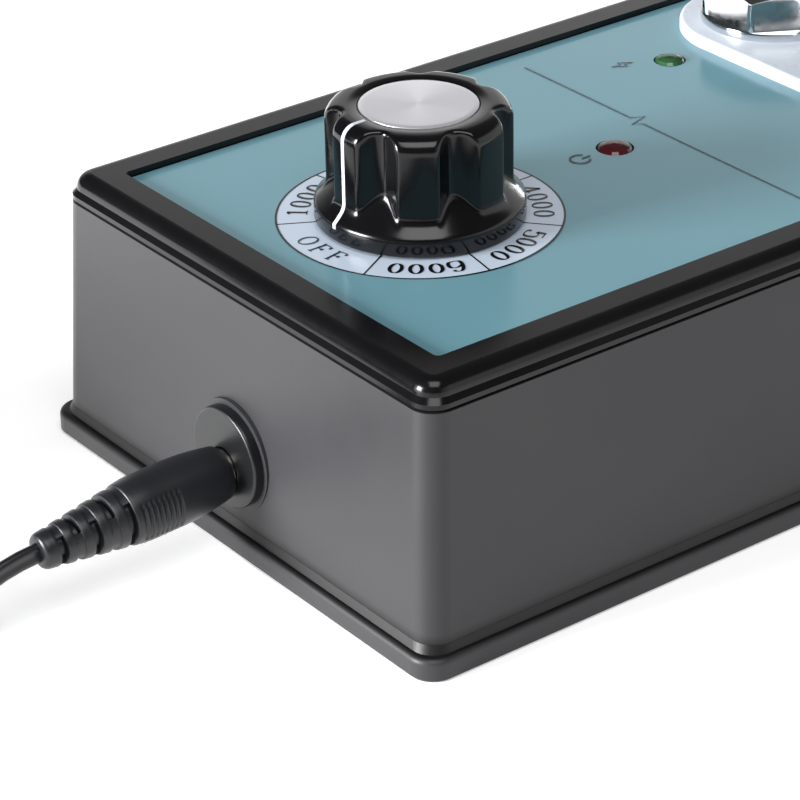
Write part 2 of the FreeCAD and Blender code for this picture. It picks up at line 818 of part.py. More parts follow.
def coil_wire():
    """The neat round coil, wound clockwise from its outer edge, with straight ends."""
    cx, cy = coil_centre
    r = coil_outer
    z = coil_start()[2]
    rows = [(r, z)]
    for dr, dz in coil_steps():
        r += dr
        z += dz
        rows.append((r, z))
    points = []
    ways = []
    for k, (r, z) in enumerate(rows):
        a = math.radians(-90 * k)
        points.append(V(cx + r * math.cos(a), cy + r * math.sin(a), z))
        before = rows[max(k - 1, 0)][1]
        after = rows[min(k + 1, len(rows) - 1)][1]
        slope = (after - before) / (math.pi * r)
        if k in (0, len(rows) - 1):
            slope = 0
        way = V(math.sin(a), -math.cos(a), slope)
        ways.append(way.normalize())
    lead_in = points[0] - ways[0] * (2 * cord_radius)
    lead_out = points[-1] + ways[-1] * (2 * cord_radius)
    edges = [Part.LineSegment(lead_in, points[0]).toShape()]
    for k in range(len(points) - 1):
        edges += biarc(points[k], ways[k], points[k + 1], ways[k + 1])
    edges.append(Part.LineSegment(points[-1], lead_out).toShape())
    return Part.Wire(edges), lead_in, lead_out


def closest_turns(wire, count=1400):
    """The least distance between the coil's centre line and itself, a turn away."""
    points = wire.discretize(count)
    length = wire.Length
    apart = int(count * 6 * cord_radius / length) + 1
    best = 1e9
    for i in range(0, count, 2):
        for j in range(i + apart, count, 2):
            best = min(best, points[i].distanceToPoint(points[j]))
    return best - 2 * cord_radius


def make_coil():
    wire, _, _ = coil_wire()
    gap = closest_turns(wire)
    print("coil length %.0f mm, least gap between turns %.2f mm" % (wire.Length, gap))
    return sweep(wire, cord_radius)


def lead_route():
    """The free lead from the strain relief down to the floor and into the coil."""
    start = lead_exit()
    _, lead_in, _ = coil_wire()
    return [start,
            along_plug(plug_length + relief_length + 5.6),
            (0.5, start[1] - 12.8, start[2] - 4.0),
            (0.0, start[1] - 21.0, cord_radius + coil_lift + 0.5),
            (-2.6, start[1] - 28.6, cord_radius + coil_lift - 0.2),
            (lead_in.x, lead_in.y + 3.0, lead_in.z),
            (lead_in.x, lead_in.y, lead_in.z)]


def make_lead():
    wire, radii = run_path(lead_route())
    solid = sweep(wire, cord_radius)
    print("lead length %.1f mm, radii %s" % (wire.Length, [round(r, 1) for r in radii]))
    section = math.pi * cord_radius ** 2
    print("lead volume %.1f, section times length %.1f" % (solid.Volume, section * wire.Length))
    return solid


def adapter_place():
    """The adapter's cable exit: level with the coil's last turn."""
    _, _, lead_out = coil_wire()
    return lead_out


def make_tail():
    """The short stretch from the coil's last turn to the adapter."""
    out = adapter_place()
    return Part.makeCylinder(cord_radius, adapter_offset, out, V(-1, 0, 0))


def make_tie():
    """A flat band round all the turns at one side of the coil."""
    inner = coil_outer - 11 * coil_layer() / 4 - cord_radius
    outer = coil_outer + cord_radius
    top = coil_start()[2] + 3 * coil_layer() + cord_radius
    low = coil_start()[2] - cord_radius
    slack = 0.1
    hole = (outer - inner + 2 * slack, tie_width, top - low + 2 * slack)
    wrap = (hole[0] + 2 * tie_thickness, tie_width, hole[2] + 2 * tie_thickness)
    x = coil_centre[0] - (inner + outer) / 2
    band = block(x, coil_centre[1], low - slack - tie_thickness, wrap)
    long_edges = [e for e in band.Edges if e.BoundBox.YLength > tie_width - 0.01]
    band = band.makeFillet(1.0, long_edges)
    return band.cut(block(x, coil_centre[1], low - slack, hole))


def make_adapter():
    """The plug-in power pack, lying on its side, with a relief where the lead goes in."""
    out = adapter_place()
    near = out.x - adapter_offset
    relief = Part.makeCone(cord_radius + 0.6, cord_radius + 1.9, adapter_relief, V(near, out.y, out.z), V(-1, 0, 0))
    size = adapter_size
    body = Part.makeBox(size[0], size[1], size[2],
                        V(near - adapter_relief - size[0], out.y - size[1] / 2, 0))
    body = body.makeFillet(3.0, body.Edges)
    return body.fuse(relief).cut(Part.makeCylinder(0.6, 2.0, V(near, out.y, out.z), V(-1, 0, 0)))


def make_prongs():
    """Two flat blades out of the adapter's broad face, on the side of the box."""
    width, length, thickness = prong_size
    out = adapter_place()
    middle = out.x - adapter_offset - adapter_relief - adapter_size[0] * 0.7
    face = out.y + adapter_size[1] / 2
    z = adapter_size[2] / 2
    blades = []
    for side in (-1, 1):
        x = middle + side * prong_spread / 2 - thickness / 2
        blade = Part.makeBox(thickness, length, width, V(x, face, z - width / 2))
        tips = [e for e in blade.Edges if e.BoundBox.XLength > thickness - 0.01
                and abs(e.BoundBox.YMax - (face + length)) < 1e-4]
        blade = blade.makeChamfer(1.2, tips)
        hole_y = face + length - 4.0
        blades.append(blade.cut(Part.makeCylinder(1.2, thickness + 2, V(x - 1, hole_y, z), V(1, 0, 0))))
    return group(blades)


def make_board():
    middle = (board_front + board_back) / 2
    board = block(0, middle, board_z, (board_width, board_back - board_front, board_thickness))
    for x, y in board_screw_places():
        board = board.cut(rod(screw_radius, x, y, board_z - 1, board_thickness + 2))
    return board


def make_board_screws():
    radius, height = board_screw_head
    screws = []
    for x, y in board_screw_places():
        head = rod(radius, x, y, board_top, height)
        head = head.makeFillet(0.6, level_edges(head, board_top + height))
        shank = rod(screw_radius - 0.32, x, y, floor + 2.2, board_top - floor - 2.1)
        slot = block(x, y, board_top + height - 0.7, (0.7, 2 * radius - 1.6, 1.2))
        screws.append(head.fuse(shank).cut(slot))
    return group(screws)


def make_case_screws():
    screws = []
    for x, y in post_places():
        seat = screw_seat
        head = rod(screw_head_radius, x, y, seat - screw_head_height, screw_head_height)
        shank = rod(screw_radius - 0.17, x, y, seat - 0.1, screw_length)
        cross = block(x, y, seat - screw_head_height - 0.5, (0.8, 3.4, 1.6))
        other = block(x, y, seat - screw_head_height - 0.5, (3.4, 0.8, 1.6))
        screws.append(head.fuse(shank).cut(cross).cut(other))
    return group(screws)


def make_coil_block(side):
    """A potted high-tension coil with its output post toward the sockets."""
    body = block(side * coil_block_x, coil_block_y, board_top, coil_block)
    upright = [e for e in body.Edges if e.BoundBox.ZLength > coil_block[2] - 0.01]
    body = body.makeFillet(1.5, upright)
    back = coil_block_y + coil_block[1] / 2
    z = board_top + high_post_rise
    post = rod_y(high_post_radius, side * high_post_x, back - 0.2, z, high_post_length + 0.2)
    return body.fuse(post)


def make_high_lead(side):
    """The thick lead from a coil's post over the board's edge to the tag under a socket."""
    x = side * high_post_x
    y = coil_block_y + coil_block[1] / 2 + high_post_length
    z = board_top + high_post_rise
    end_x = side * socket_x
    end_y = socket_y - sleeve_outer - contact_tag_reach / 2
    route = [(x, y, z), (x, y + 3.4, z), ((x + end_x) / 2, (y + 3.4 + end_y) / 2 + 0.5, z - 0.8),
             (end_x, end_y, z - 3.6), (end_x, end_y, base_z + base_height)]
    wire, _ = run_path(route)
    return sweep(wire, high_wire_radius)


def make_big_capacitor():
    radius, height = big_can
    x, y = big_can_place
    can = rod(radius, x, board_front + y, board_top + 0.3, height - 0.3)
    can = can.makeFillet(0.6, level_edges(can, board_top + height))
    return can.fuse(rod(radius - 0.6, x, board_front + y, board_top, 0.4))


def make_small_capacitors():
    """Two round cans and a film capacitor."""
    cans = []
    for place, radius, height in small_cans:
        can = rod(radius, place[0], board_front + place[1], board_top, height)
        cans.append(can.makeFillet(0.5, level_edges(can, board_top + height)))
    cans.append(block(film_place[0], board_front + film_place[1], board_top, film_block))
    return group(cans)


def make_heat_sink():
    """A finned bracket that stands on the board behind the switching transistor."""
    x, y = sink_place
    thick, length, height = sink_plate
    sink = Part.makeBox(thick, length, height, V(x, board_front + y, board_top))
    step = (length - fin_size[1]) / (fin_count - 1)
    for k in range(fin_count):
        corner = V(x + thick - 0.1, board_front + y + step * k, board_top)
        sink = sink.fuse(Part.makeBox(fin_size[0], fin_size[1], height, corner))
    return sink


def make_transistor():
    """The switching transistor, its tab flat against the heat sink."""
    z = board_top + switch_rise
    y = board_front + switch_place
    tab_x = sink_place[0] - switch_tab[0]
    case_x = tab_x - switch_case[0] + 0.1
    tab = Part.makeBox(switch_tab[0], switch_tab[1], switch_tab[2], V(tab_x, y, z))
    case = Part.makeBox(switch_case[0], switch_case[1], switch_case[2], V(case_x, y, z))
    first = y + switch_case[1] / 2 - leg_pitch - 0.45
    legs = [Part.makeBox(0.6, 0.9, switch_rise + 0.2, V(case_x + 1.4, first + leg_pitch * k, board_top))
            for k in range(3)]
    return tab.fuse([case] + legs)


def make_timer_chip():
    x, y = chip_place
    body = Part.makeBox(chip_size[0], chip_size[1], chip_size[2],
                        V(x, board_front + y, board_top + chip_rise))
    first = board_front + y + (chip_size[1] - 3 * leg_pitch - chip_leg) / 2
    legs = []
    for k in range(4):
        for leg_x in (x - chip_leg, x + chip_size[0]):
            legs.append(Part.makeBox(chip_leg, chip_leg, chip_rise + chip_size[2] / 2,
                                     V(leg_x, first + leg_pitch * k, board_top)))
    return body.fuse(legs)


def make_resistors():
    """A row of resistors, each lying between its two bent legs."""
    x, y = resistor_place
    z = board_top + resistor_radius + 0.4
    reach = 1.4
    rows = []
    for k in range(resistor_count):
        row_y = board_front + y + resistor_pitch * k
        body = Part.makeCylinder(resistor_radius, resistor_length, V(x, row_y, z), V(1, 0, 0))
        wire = Part.makeCylinder(resistor_wire, resistor_length + 2 * reach,
                                 V(x - reach, row_y, z), V(1, 0, 0))
        legs = [rod(resistor_leg, leg_x, row_y, board_top, z - board_top + 0.4)
                for leg_x in (x - reach, x + resistor_length + reach)]
        rows.append(body.fuse([wire] + legs))
    return group(rows)


def make_jack_wires():
    """The pair from the jack's tags down to the board."""
    wires = []
    y = pad_y + jack_depth + jack_tag[1]
    for side, rise in zip((-1, 1), jack_tag_rises):
        x = side * jack_tag_x
        z = jack_z + rise + jack_tag[2] + wire_radius
        far_x = x + side * 4.6
        route = [(x, y - 2.6, z), (x, y + 0.6, z), (far_x, y + 3.0, z - 0.4), (far_x, y + 3.0, board_top)]
        wire, _ = run_path(route)
        wires.append(sweep(wire, wire_radius))
    return group(wires)


def make_pot_wires():
    """Three wires from the potentiometer's tags down to the board."""
    top = cover_under - pot_tag_drop
    y = knob_y - pot_radius - pot_tag[2] / 2 + 0.8
    return group([rod(wire_radius, x, y, board_top, top - board_top) for x in pot_tag_places])


def main():
    os.makedirs("parts", exist_ok=True)
    nodes = {
        "housing": make_housing(),
        "top_cover": make_cover(),
        "panel_label": make_label(),
        "case_screws": make_case_screws(),
        "knob": make_knob(),
        "knob_cap": make_cap(),
        "knob_pointer": make_pointer(),
        "knob_set_screw": make_set_screw(),
        "pot_shaft": make_shaft(),
        "potentiometer": make_pot(),
        "pot_nut": make_pot_nut(),
        "led_leads": make_led_leads(),
        "socket_plate": make_plate(),
        "socket_clamp_nuts": make_clamp_nuts(),
        "dc_jack": make_jack(),
        "dc_jack_nut": make_jack_nut(),
        "circuit_board": make_board(),
        "board_screws": make_board_screws(),
        "main_capacitor": make_big_capacitor(),
        "small_capacitors": make_small_capacitors(),
        "heat_sink": make_heat_sink(),
        "power_transistor": make_transistor(),
        "timer_chip": make_timer_chip(),
        "resistors": make_resistors(),
        "jack_wires": make_jack_wires(),
        "pot_wires": make_pot_wires(),
        "dc_plug": make_plug(),
        "dc_plug_sleeve": make_barrel(),
        "strain_relief": make_relief(),
        "power_lead": make_lead(),
        "lead_coil": make_coil(),
        "lead_tail": make_tail(),
        "lead_tie": make_tie(),
        "power_adapter": make_adapter(),
        "adapter_prongs": make_prongs(),
    }
    for name, x, y, radius in led_places():
        nodes[name] = make_led(x, y, radius)
    for side, word in ((-1, "left"), (1, "right")):
        x = side * socket_x
        nodes["socket_collar_" + word] = make_collar(x)
        nodes["socket_sleeve_" + word] = make_sleeve(x)
        nodes["contact_base_" + word] = make_contact_base(x)
        nodes["contact_cup_" + word] = make_contact(x)
        nodes["contact_spring_" + word] = make_spring(x)
        nodes["spark_coil_" + word] = make_coil_block(side)
        nodes["spark_lead_" + word] = make_high_lead(side)
    for name, shape in nodes.items():
        if not shape.isValid() or shape.Volume <= 0:
            print("not a valid solid:", name, shape.isValid(), shape.Volume)
        shape.exportStep(os.path.join("parts", name + ".step"))
    print(len(nodes), "nodes")


main()
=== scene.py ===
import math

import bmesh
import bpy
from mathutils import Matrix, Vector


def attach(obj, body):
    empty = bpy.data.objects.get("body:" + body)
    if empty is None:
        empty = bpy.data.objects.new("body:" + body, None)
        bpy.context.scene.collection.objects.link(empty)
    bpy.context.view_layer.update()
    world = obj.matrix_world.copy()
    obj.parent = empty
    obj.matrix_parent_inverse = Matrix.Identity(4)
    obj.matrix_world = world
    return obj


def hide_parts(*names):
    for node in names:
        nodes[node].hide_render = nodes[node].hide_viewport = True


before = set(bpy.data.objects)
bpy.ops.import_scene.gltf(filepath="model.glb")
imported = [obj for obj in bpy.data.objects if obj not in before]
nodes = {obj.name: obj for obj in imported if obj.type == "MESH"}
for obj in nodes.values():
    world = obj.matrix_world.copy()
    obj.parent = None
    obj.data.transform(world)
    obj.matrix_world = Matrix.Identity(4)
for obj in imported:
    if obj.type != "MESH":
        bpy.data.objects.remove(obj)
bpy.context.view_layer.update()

# %% [markdown]
# # A bench tester for spark plugs
# The tester is a black moulded box with a blue-grey panel, a fluted speed knob, three
# lamps and two chromed plug sockets on a white plate. A thin lead runs from its front
# wall to a plug-in power pack. The solids are already in the file, in metres, with +Z
# up and the operator at -Y. This lesson gives each of them its finish, and models again
# the pieces that need a softer edge or a finer form than the solids have.

MM = 0.001

# %% [markdown]
# ## The camera
# The photograph was taken from above the front right corner with a long lens, so
# the box keeps nearly parallel edges. The camera is turned in three plain steps: the
# tilt down, the turn round the box and a slight lean. Its place is in metres.

# %% Camera
camera = bpy.data.objects.new("camera", bpy.data.cameras.new("camera"))
bpy.context.collection.objects.link(camera)
camera.data.lens = 150.28
camera.data.sensor_width = 36.0
camera.data.clip_start = 0.01
turn, tilt, lean = math.radians(53.142), math.radians(28.557), math.radians(-1.123)
camera.matrix_world = (Matrix.Translation((0.31090, -0.27354, 0.22362))
                       @ Matrix.Rotation(turn, 4, "Z")
                       @ Matrix.Rotation(math.pi / 2 - tilt, 4, "X")
                       @ Matrix.Rotation(lean, 4, "Z"))
bpy.context.scene.camera = camera
print("camera", [round(c, 3) for c in camera.location])

# %% [markdown]
# ## Helpers for modelling
# A mesh operator works on everything that is selected, and the imported solids start
# out selected. So each new piece begins with an empty selection, and its place, turn and
# size go into its mesh at once, so that a point is where its coordinates say.

# %% Helpers that start, shape and finish
def begin(primitive, name, **settings):
    """Adds a primitive, alone in the selection, puts its place and size into its mesh, and opens it."""
    bpy.ops.object.select_all(action="DESELECT")
    primitive(**settings)
    piece = bpy.context.object
    piece.name = name
    piece.data.name = name
    bpy.ops.object.transform_apply(location=True, rotation=True, scale=True)
    bpy.ops.object.mode_set(mode="EDIT")
    bpy.ops.mesh.select_mode(type="VERT")
    bpy.ops.mesh.select_all(action="SELECT")
    return piece


def close(piece, body, material=None, smooth=30, stands_for=()):
    """Back to object mode: place into the mesh, shading, body, and the solids it replaces."""
    if bpy.context.mode != "OBJECT":
        bpy.ops.object.mode_set(mode="OBJECT")
    bpy.ops.object.select_all(action="DESELECT")
    piece.select_set(True)
    bpy.context.view_layer.objects.active = piece
    bpy.ops.object.transform_apply(location=True, rotation=True, scale=True)
    if smooth:
        bpy.ops.object.shade_smooth_by_angle(angle=math.radians(smooth))
    if material:
        piece.data.materials.clear()
        piece.data.materials.append(material)
    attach(piece, body)
    if stands_for:
        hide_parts(*stands_for)
    return piece


def apply_modifier(piece, kind, **settings):
    """Adds one modifier with its settings and applies it."""
    bpy.context.view_layer.objects.active = piece
    modifier = piece.modifiers.new(kind.lower(), kind)
    for name, value in settings.items():
        setattr(modifier, name, value)
    bpy.ops.object.modifier_apply(modifier=modifier.name)


def turned(name, outline, centre, axis=(0, 0, 1), steps=96):
    """Draws half an outline by extruding one vertex along it, then spins it round an axis.

    The outline is (radius, distance along the axis) in mm, from the centre, also in mm.
    """
    axis = Vector(axis)
    centre = Vector(centre) * MM
    places = [centre + Vector((r * MM, 0, 0)) + axis * (h * MM) for r, h in outline]
    piece = begin(bpy.ops.mesh.primitive_plane_add, name, size=0.001, location=(0, 0, 0))
    bpy.ops.mesh.merge(type="CENTER")
    bpy.ops.transform.translate(value=places[0])
    for before, after in zip(places, places[1:]):
        bpy.ops.mesh.extrude_region_move(TRANSFORM_OT_translate={"value": after - before})
    bpy.ops.mesh.select_all(action="SELECT")
    bpy.ops.mesh.spin(steps=steps, angle=math.tau, center=centre, axis=axis)
    bpy.ops.mesh.select_all(action="SELECT")
    bpy.ops.mesh.remove_doubles(threshold=1e-6)
    bpy.ops.mesh.normals_make_consistent(inside=False)
    print(name, "spun in", len(bmesh.from_edit_mesh(piece.data).faces), "faces")
    return piece


# %% [markdown]
# ## Colours and nodes
# Colours are written as the hex values that a paint program shows, and one function
# turns them into the linear values that shaders work with. A second one adds a shader
# node, sets it up and links it, so that each material reads as a short list.

# %% Colour and node helpers
def linear(hex_colour):
    """The linear red, green, blue and alpha of an sRGB hex colour such as #8FA9B5."""
    parts = [int(hex_colour[i:i + 2], 16) / 255 for i in (1, 3, 5)]
    return [c / 12.92 if c <= 0.04045 else ((c + 0.055) / 1.055) ** 2.4 for c in parts] + [1.0]


def node(material, kind, links=(), **settings):
    """Adds one shader node; links gives its inputs, as values or as other nodes' outputs."""
    made = material.node_tree.nodes.new("ShaderNode" + kind)
    for name, value in settings.items():
        setattr(made, name, value)
    for name, value in dict(links).items():
        if isinstance(value, bpy.types.NodeSocket):
            material.node_tree.links.new(value, made.inputs[name])
        else:
            made.inputs[name].default_value = value
    return made


def material_named(name, **surface):
    """A new material with its Principled surface; returns both."""
    made = bpy.data.materials.new(name)
    made.use_nodes = True
    shader = made.node_tree.nodes["Principled BSDF"]
    for key, value in surface.items():
        shader.inputs[key.replace("_", " ")].default_value = value
    return made, shader


def link(material, output, target):
    material.node_tree.links.new(output, target)


# %% [markdown]
# ## Black moulded plastics
# The box and lid are injection-moulded ABS with a fine spark-eroded skin: it is near
# black, throws a soft, wide highlight, and shows a grain of about a third of a
# millimetre. The knob is glossy moulded phenolic, almost a mirror at its edges. One
# function makes all of them from a skin grain and one slow cloud of tone and sheen.

# %% Moulded plastics
def moulded(name, colour, roughness, grain_mm, relief, variation=0.15, cloud_mm=22.0, IOR=1.5):
    """Moulded plastic: a fine bumpy skin, with slight changes of sheen and tone."""
    made, shader = material_named(name, Roughness=roughness, IOR=IOR)
    place = node(made, "TexCoord")
    skin = node(made, "TexNoise", {"Vector": place.outputs["Object"], "Scale": 1 / (grain_mm * MM),
                                   "Detail": 2.0, "Roughness": 0.6})
    cloud = node(made, "TexNoise", {"Vector": place.outputs["Object"], "Scale": 1 / (cloud_mm * MM),
                                    "Detail": 4.0, "Roughness": 0.6})
    tone = node(made, "Mix", {0: cloud.outputs["Fac"]}, data_type="RGBA")
    base = linear(colour)
    tone.inputs[6].default_value = [c * (1 - variation) for c in base[:3]] + [1]
    tone.inputs[7].default_value = [min(1, c * (1 + variation)) for c in base[:3]] + [1]
    sheen = node(made, "MapRange", {"Value": cloud.outputs["Fac"], "From Min": 0.3, "From Max": 0.7,
                                    "To Min": max(0.02, roughness - 0.05), "To Max": roughness + 0.05})
    bump = node(made, "Bump", {"Height": skin.outputs["Fac"], "Distance": relief * MM, "Strength": 0.6})
    link(made, tone.outputs[2], shader.inputs["Base Color"])
    link(made, sheen.outputs[0], shader.inputs["Roughness"])
    link(made, bump.outputs[0], shader.inputs["Normal"])
    return made


def paint_shade_at_foot(material):
    """Painted shade: the tone drops to near black on the fillet above the box's foot, so that it reads
    darker than the wall.
    """
    shader = material.node_tree.nodes["Principled BSDF"]
    tone = shader.inputs["Base Color"].links[0].from_socket
    place = node(material, "TexCoord")
    height = node(material, "SeparateXYZ", {0: place.outputs["Object"]})
    above = node(material, "MapRange", {"Value": height.outputs["Z"], "From Min": 2.9 * MM,
                                        "From Max": 3.2 * MM})
    below = node(material, "MapRange", {"Value": height.outputs["Z"], "From Min": 4.2 * MM,
                                        "From Max": 5.6 * MM, "To Min": 1.0, "To Max": 0.0})
    shade_band = node(material, "Math", {0: above.outputs[0], 1: below.outputs[0]}, operation="MULTIPLY")
    # Painted shade: a near-black tone laid over the band on the fillet.
    mixed = node(material, "Mix", {0: shade_band.outputs[0], 6: tone}, data_type="RGBA")
    mixed.inputs[7].default_value = linear("#050506")
    link(material, mixed.outputs[2], shader.inputs["Base Color"])


moulded_abs = moulded("moulded_abs_black", "#2D2D30", 0.46, 0.35, 0.02)
paint_shade_at_foot(moulded_abs)
lid_abs = moulded("moulded_abs_lid", "#0B0B0D", 0.2, 0.5, 0.006, IOR=1.42)
pack_abs = moulded("power_pack_abs", "#1C1C1F", 0.45, 0.4, 0.025)
glossy_phenolic = moulded("glossy_phenolic", "#08080A", 0.17, 1.2, 0.003, IOR=1.48)
cord_vinyl = moulded("cord_vinyl", "#17171B", 0.3, 0.8, 0.01)
plug_vinyl = moulded("moulded_plug_vinyl", "#1B1C20", 0.36, 0.4, 0.02)
jack_nylon = moulded("jack_nylon", "#121315", 0.3, 0.5, 0.01)
potted_epoxy = moulded("potted_epoxy", "#1A1A1C", 0.5, 0.5, 0.02)
nylon_white = moulded("natural_nylon", "#D9D6CC", 0.5, 0.6, 0.02, 0.04)
plate_acetal = moulded("white_acetal", "#C3CBD5", 0.28, 0.8, 0.004, 0.02)
pointer_paint = moulded("white_inlay_paint", "#C4C8D2", 0.4, 0.25, 0.015, 0.04)
glass_laminate = moulded("glass_epoxy_laminate", "#2F6B3F", 0.35, 0.25, 0.02)
wire_red = moulded("red_wire_vinyl", "#A11D20", 0.35, 0.5, 0.01)
resistor_lacquer = moulded("resistor_lacquer", "#C9B48A", 0.4, 0.4, 0.02)
can_sleeve = moulded("capacitor_sleeve", "#1E2B57", 0.3, 0.6, 0.01)
print("plastics", len(bpy.data.materials))

# %% [markdown]
# ## Metals
# The sockets are chrome plate over milled hexagon bar, and the screws are zinc-plated
# steel. The disc in the knob is aluminium faced on a lathe: its fine rings smear the
# light into two bright fans, which the anisotropic setting gives, with the grain
# running round the axis. Metals keep the default IOR.

# %% Chrome, steel, brass and aluminium
def metal(name, colour, roughness, cloud_mm=2.0, dullness=0.0):
    """Bare or plated metal with a faint cloudiness in its polish."""
    made, shader = material_named(name, Metallic=1.0 - dullness, Base_Color=linear(colour))
    place = node(made, "TexCoord")
    cloud = node(made, "TexNoise", {"Vector": place.outputs["Object"], "Scale": 1 / (cloud_mm * MM),
                                    "Detail": 3.0})
    polish = node(made, "MapRange", {"Value": cloud.outputs["Fac"], "From Min": 0.3, "From Max": 0.7,
                                     "To Min": max(0.03, roughness - 0.04), "To Max": roughness + 0.04})
    link(made, polish.outputs[0], shader.inputs["Roughness"])
    return made


bright_chrome = metal("bright_chrome_plate", "#D4D7DB", 0.1)
zinc_steel = metal("zinc_plated_steel", "#B9BABB", 0.28, 1.0)
nickel_plate = metal("nickel_plate", "#CFCBC2", 0.22)
turned_brass = metal("turned_brass", "#C9A45A", 0.25, 1.0)
spring_wire = metal("spring_wire", "#A9ABAE", 0.2, 0.5)
sink_metal = metal("extruded_aluminium", "#B4B7BA", 0.35, 1.0)
faced_aluminium, shader = material_named("lathe_faced_aluminium", Metallic=0.7, Roughness=0.3,
                                         Base_Color=linear("#E9E9EE"), Anisotropic=0.7)
place = node(faced_aluminium, "TexCoord")
from_axis = node(faced_aluminium, "Mapping", {"Vector": place.outputs["Object"],
                                              "Location": (0, 0.0366, -0.0538)})
# The real rings are 0.1 mm apart. They are drawn 0.7 mm apart, so that a few show.
rings = node(faced_aluminium, "TexWave", {"Vector": from_axis.outputs[0], "Scale": 1 / (2.2 * MM),
                                          "Distortion": 0.4, "Detail": 1.0}, wave_type="RINGS",
             rings_direction="Z")
relief = node(faced_aluminium, "Bump", {"Height": rings.outputs["Fac"], "Distance": 0.004 * MM,
                                        "Strength": 0.5})
grain = node(faced_aluminium, "Tangent", direction_type="RADIAL", axis="Z")
link(faced_aluminium, relief.outputs[0], shader.inputs["Normal"])
link(faced_aluminium, grain.outputs[0], shader.inputs["Tangent"])
print("metals made, in all", len(bpy.data.materials))

# %% [markdown]
# ## Film, inks and lamp lenses
# The panel is a polyester film printed from behind, so its inks share one glossy skin
# with a slight ripple. The lamps are tinted epoxy over a small reflector. The lighter
# middle of each lens is a painted highlight, which a facing mix lays on its colour.

# %% Film, inks and lenses
def film(name, colour):
    """Ink seen through glossy film: even colour, slow ripple, faint changes of sheen."""
    return moulded(name, colour, roughness=0.17, grain_mm=9.0, relief=0.02, variation=0.03,
                   cloud_mm=40.0)


panel_film = film("printed_polyester_film", "#66919D")
dial_ink = film("pale_dial_ink", "#B9C6D6")
black_ink = film("black_ink", "#101114")
grey_ink = film("grey_ink", "#363F48")


def lens(name, rim, painted_highlight):
    """A tinted epoxy lens, deep at its rim, with a painted highlight in the middle where it looks straight
    at the eye.
    """
    made, shader = material_named(name, Roughness=0.07, IOR=1.55, Transmission_Weight=0.15)
    facing = node(made, "LayerWeight", {"Blend": 0.5})
    # Painted highlight: the lens takes the lighter colour where it faces the eye.
    tint = node(made, "Mix", {0: facing.outputs["Facing"]}, data_type="RGBA")
    tint.inputs[6].default_value = linear(painted_highlight)
    tint.inputs[7].default_value = linear(rim)
    link(made, tint.outputs[2], shader.inputs["Base Color"])
    return made


red_lens = lens("red_epoxy_lens", "#1C0305", "#5E1C22")
green_lens = lens("green_epoxy_lens", "#07180A", "#3A6A42")
print("finishes in all", len(bpy.data.materials))

# %% [markdown]
# ## The lead, coil and tail
# A thin two-core lead, 2.8 mm across its pair of cores, comes straight out of the
# strain relief, drops to the table and is wound into a neat round coil. One smooth
# NURBS curve of order 3 carries the whole length, so that no bend looks like bent
# wire. A figure-of-eight outline is swept along it with its long side upright, as the
# photograph shows the cores one above the other.

# %% Route of the lead
plug_start = Vector((0.0, -69.346, 11.65))
droop = math.radians(3.3)
plug_axis = Vector((0.0, -math.cos(droop), -math.sin(droop)))
relief_tip = plug_start + 27.7 * plug_axis
coil_middle = Vector((-24.0, -138.0))
coil_radius, coil_pitch, coil_floor = 20.2, 3.25, 2.1
route = [relief_tip, relief_tip + 5.6 * plug_axis, Vector((0.5, -109.8, 6.06)),
         Vector((0.0, -118.0, 2.6)), Vector((-2.6, -125.6, 1.9)), Vector((-3.8, -132.2, 2.1)),
         Vector((-3.8, -138.0, 2.1))]
quarter_steps = [(-1, 0)] * 10 + [(-1, 2), (1, 2)] + [(1, 0)] * 8 + [(1, 2), (-1, 2)]
quarter_steps += [(-1, 0)] * 8 + [(-1, 2), (1, 2)] + [(1, 0)] * 9
per_quarter = 4
radius, height = coil_radius, coil_floor
# A curve of order 3 runs a little inside its points, so they lie a little further out.
swell = 1 / math.cos(math.pi / (4 * per_quarter)) ** 0.5
for quarter, (inward, lift) in enumerate(quarter_steps):
    for k in range(per_quarter):
        share = k / per_quarter
        r = (radius + inward * coil_pitch / 4 * share) * swell
        z = height + lift * coil_pitch / 4 * share
        a = -math.pi / 2 * (quarter + share)
        if quarter or k:
            route.append(Vector((coil_middle.x + r * math.cos(a), coil_middle.y + r * math.sin(a), z)))
    radius += inward * coil_pitch / 4
    height += lift * coil_pitch / 4
tail_y = coil_middle.y - radius
route += [Vector((coil_middle.x, tail_y, height)), Vector((-29.0, tail_y, height)),
          Vector((-35.5, tail_y, height))]
print("route points", len(route), "coil ends at height", round(height, 2))

# %% Smooth curve through the route
curve = bpy.data.curves.new("lead_route", "CURVE")
curve.dimensions = "3D"
curve.resolution_u = 4
curve.twist_mode = "Z_UP"
spline = curve.splines.new("NURBS")
spline.points.add(len(route) - 1)
for point, place in zip(spline.points, route):
    point.co = (*(place * MM), 1.0)
spline.order_u = 3
spline.use_endpoint_u = True
lead = bpy.data.objects.new("power_cord", curve)
bpy.context.collection.objects.link(lead)
bpy.context.view_layer.update()
line = bpy.data.meshes.new_from_object(lead)
lead_path = [v.co.copy() for v in line.vertices]
lead_length = sum((b - a).length for a, b in zip(lead_path, lead_path[1:]))
print("lead length mm", round(lead_length / MM, 1), "points", len(lead_path))

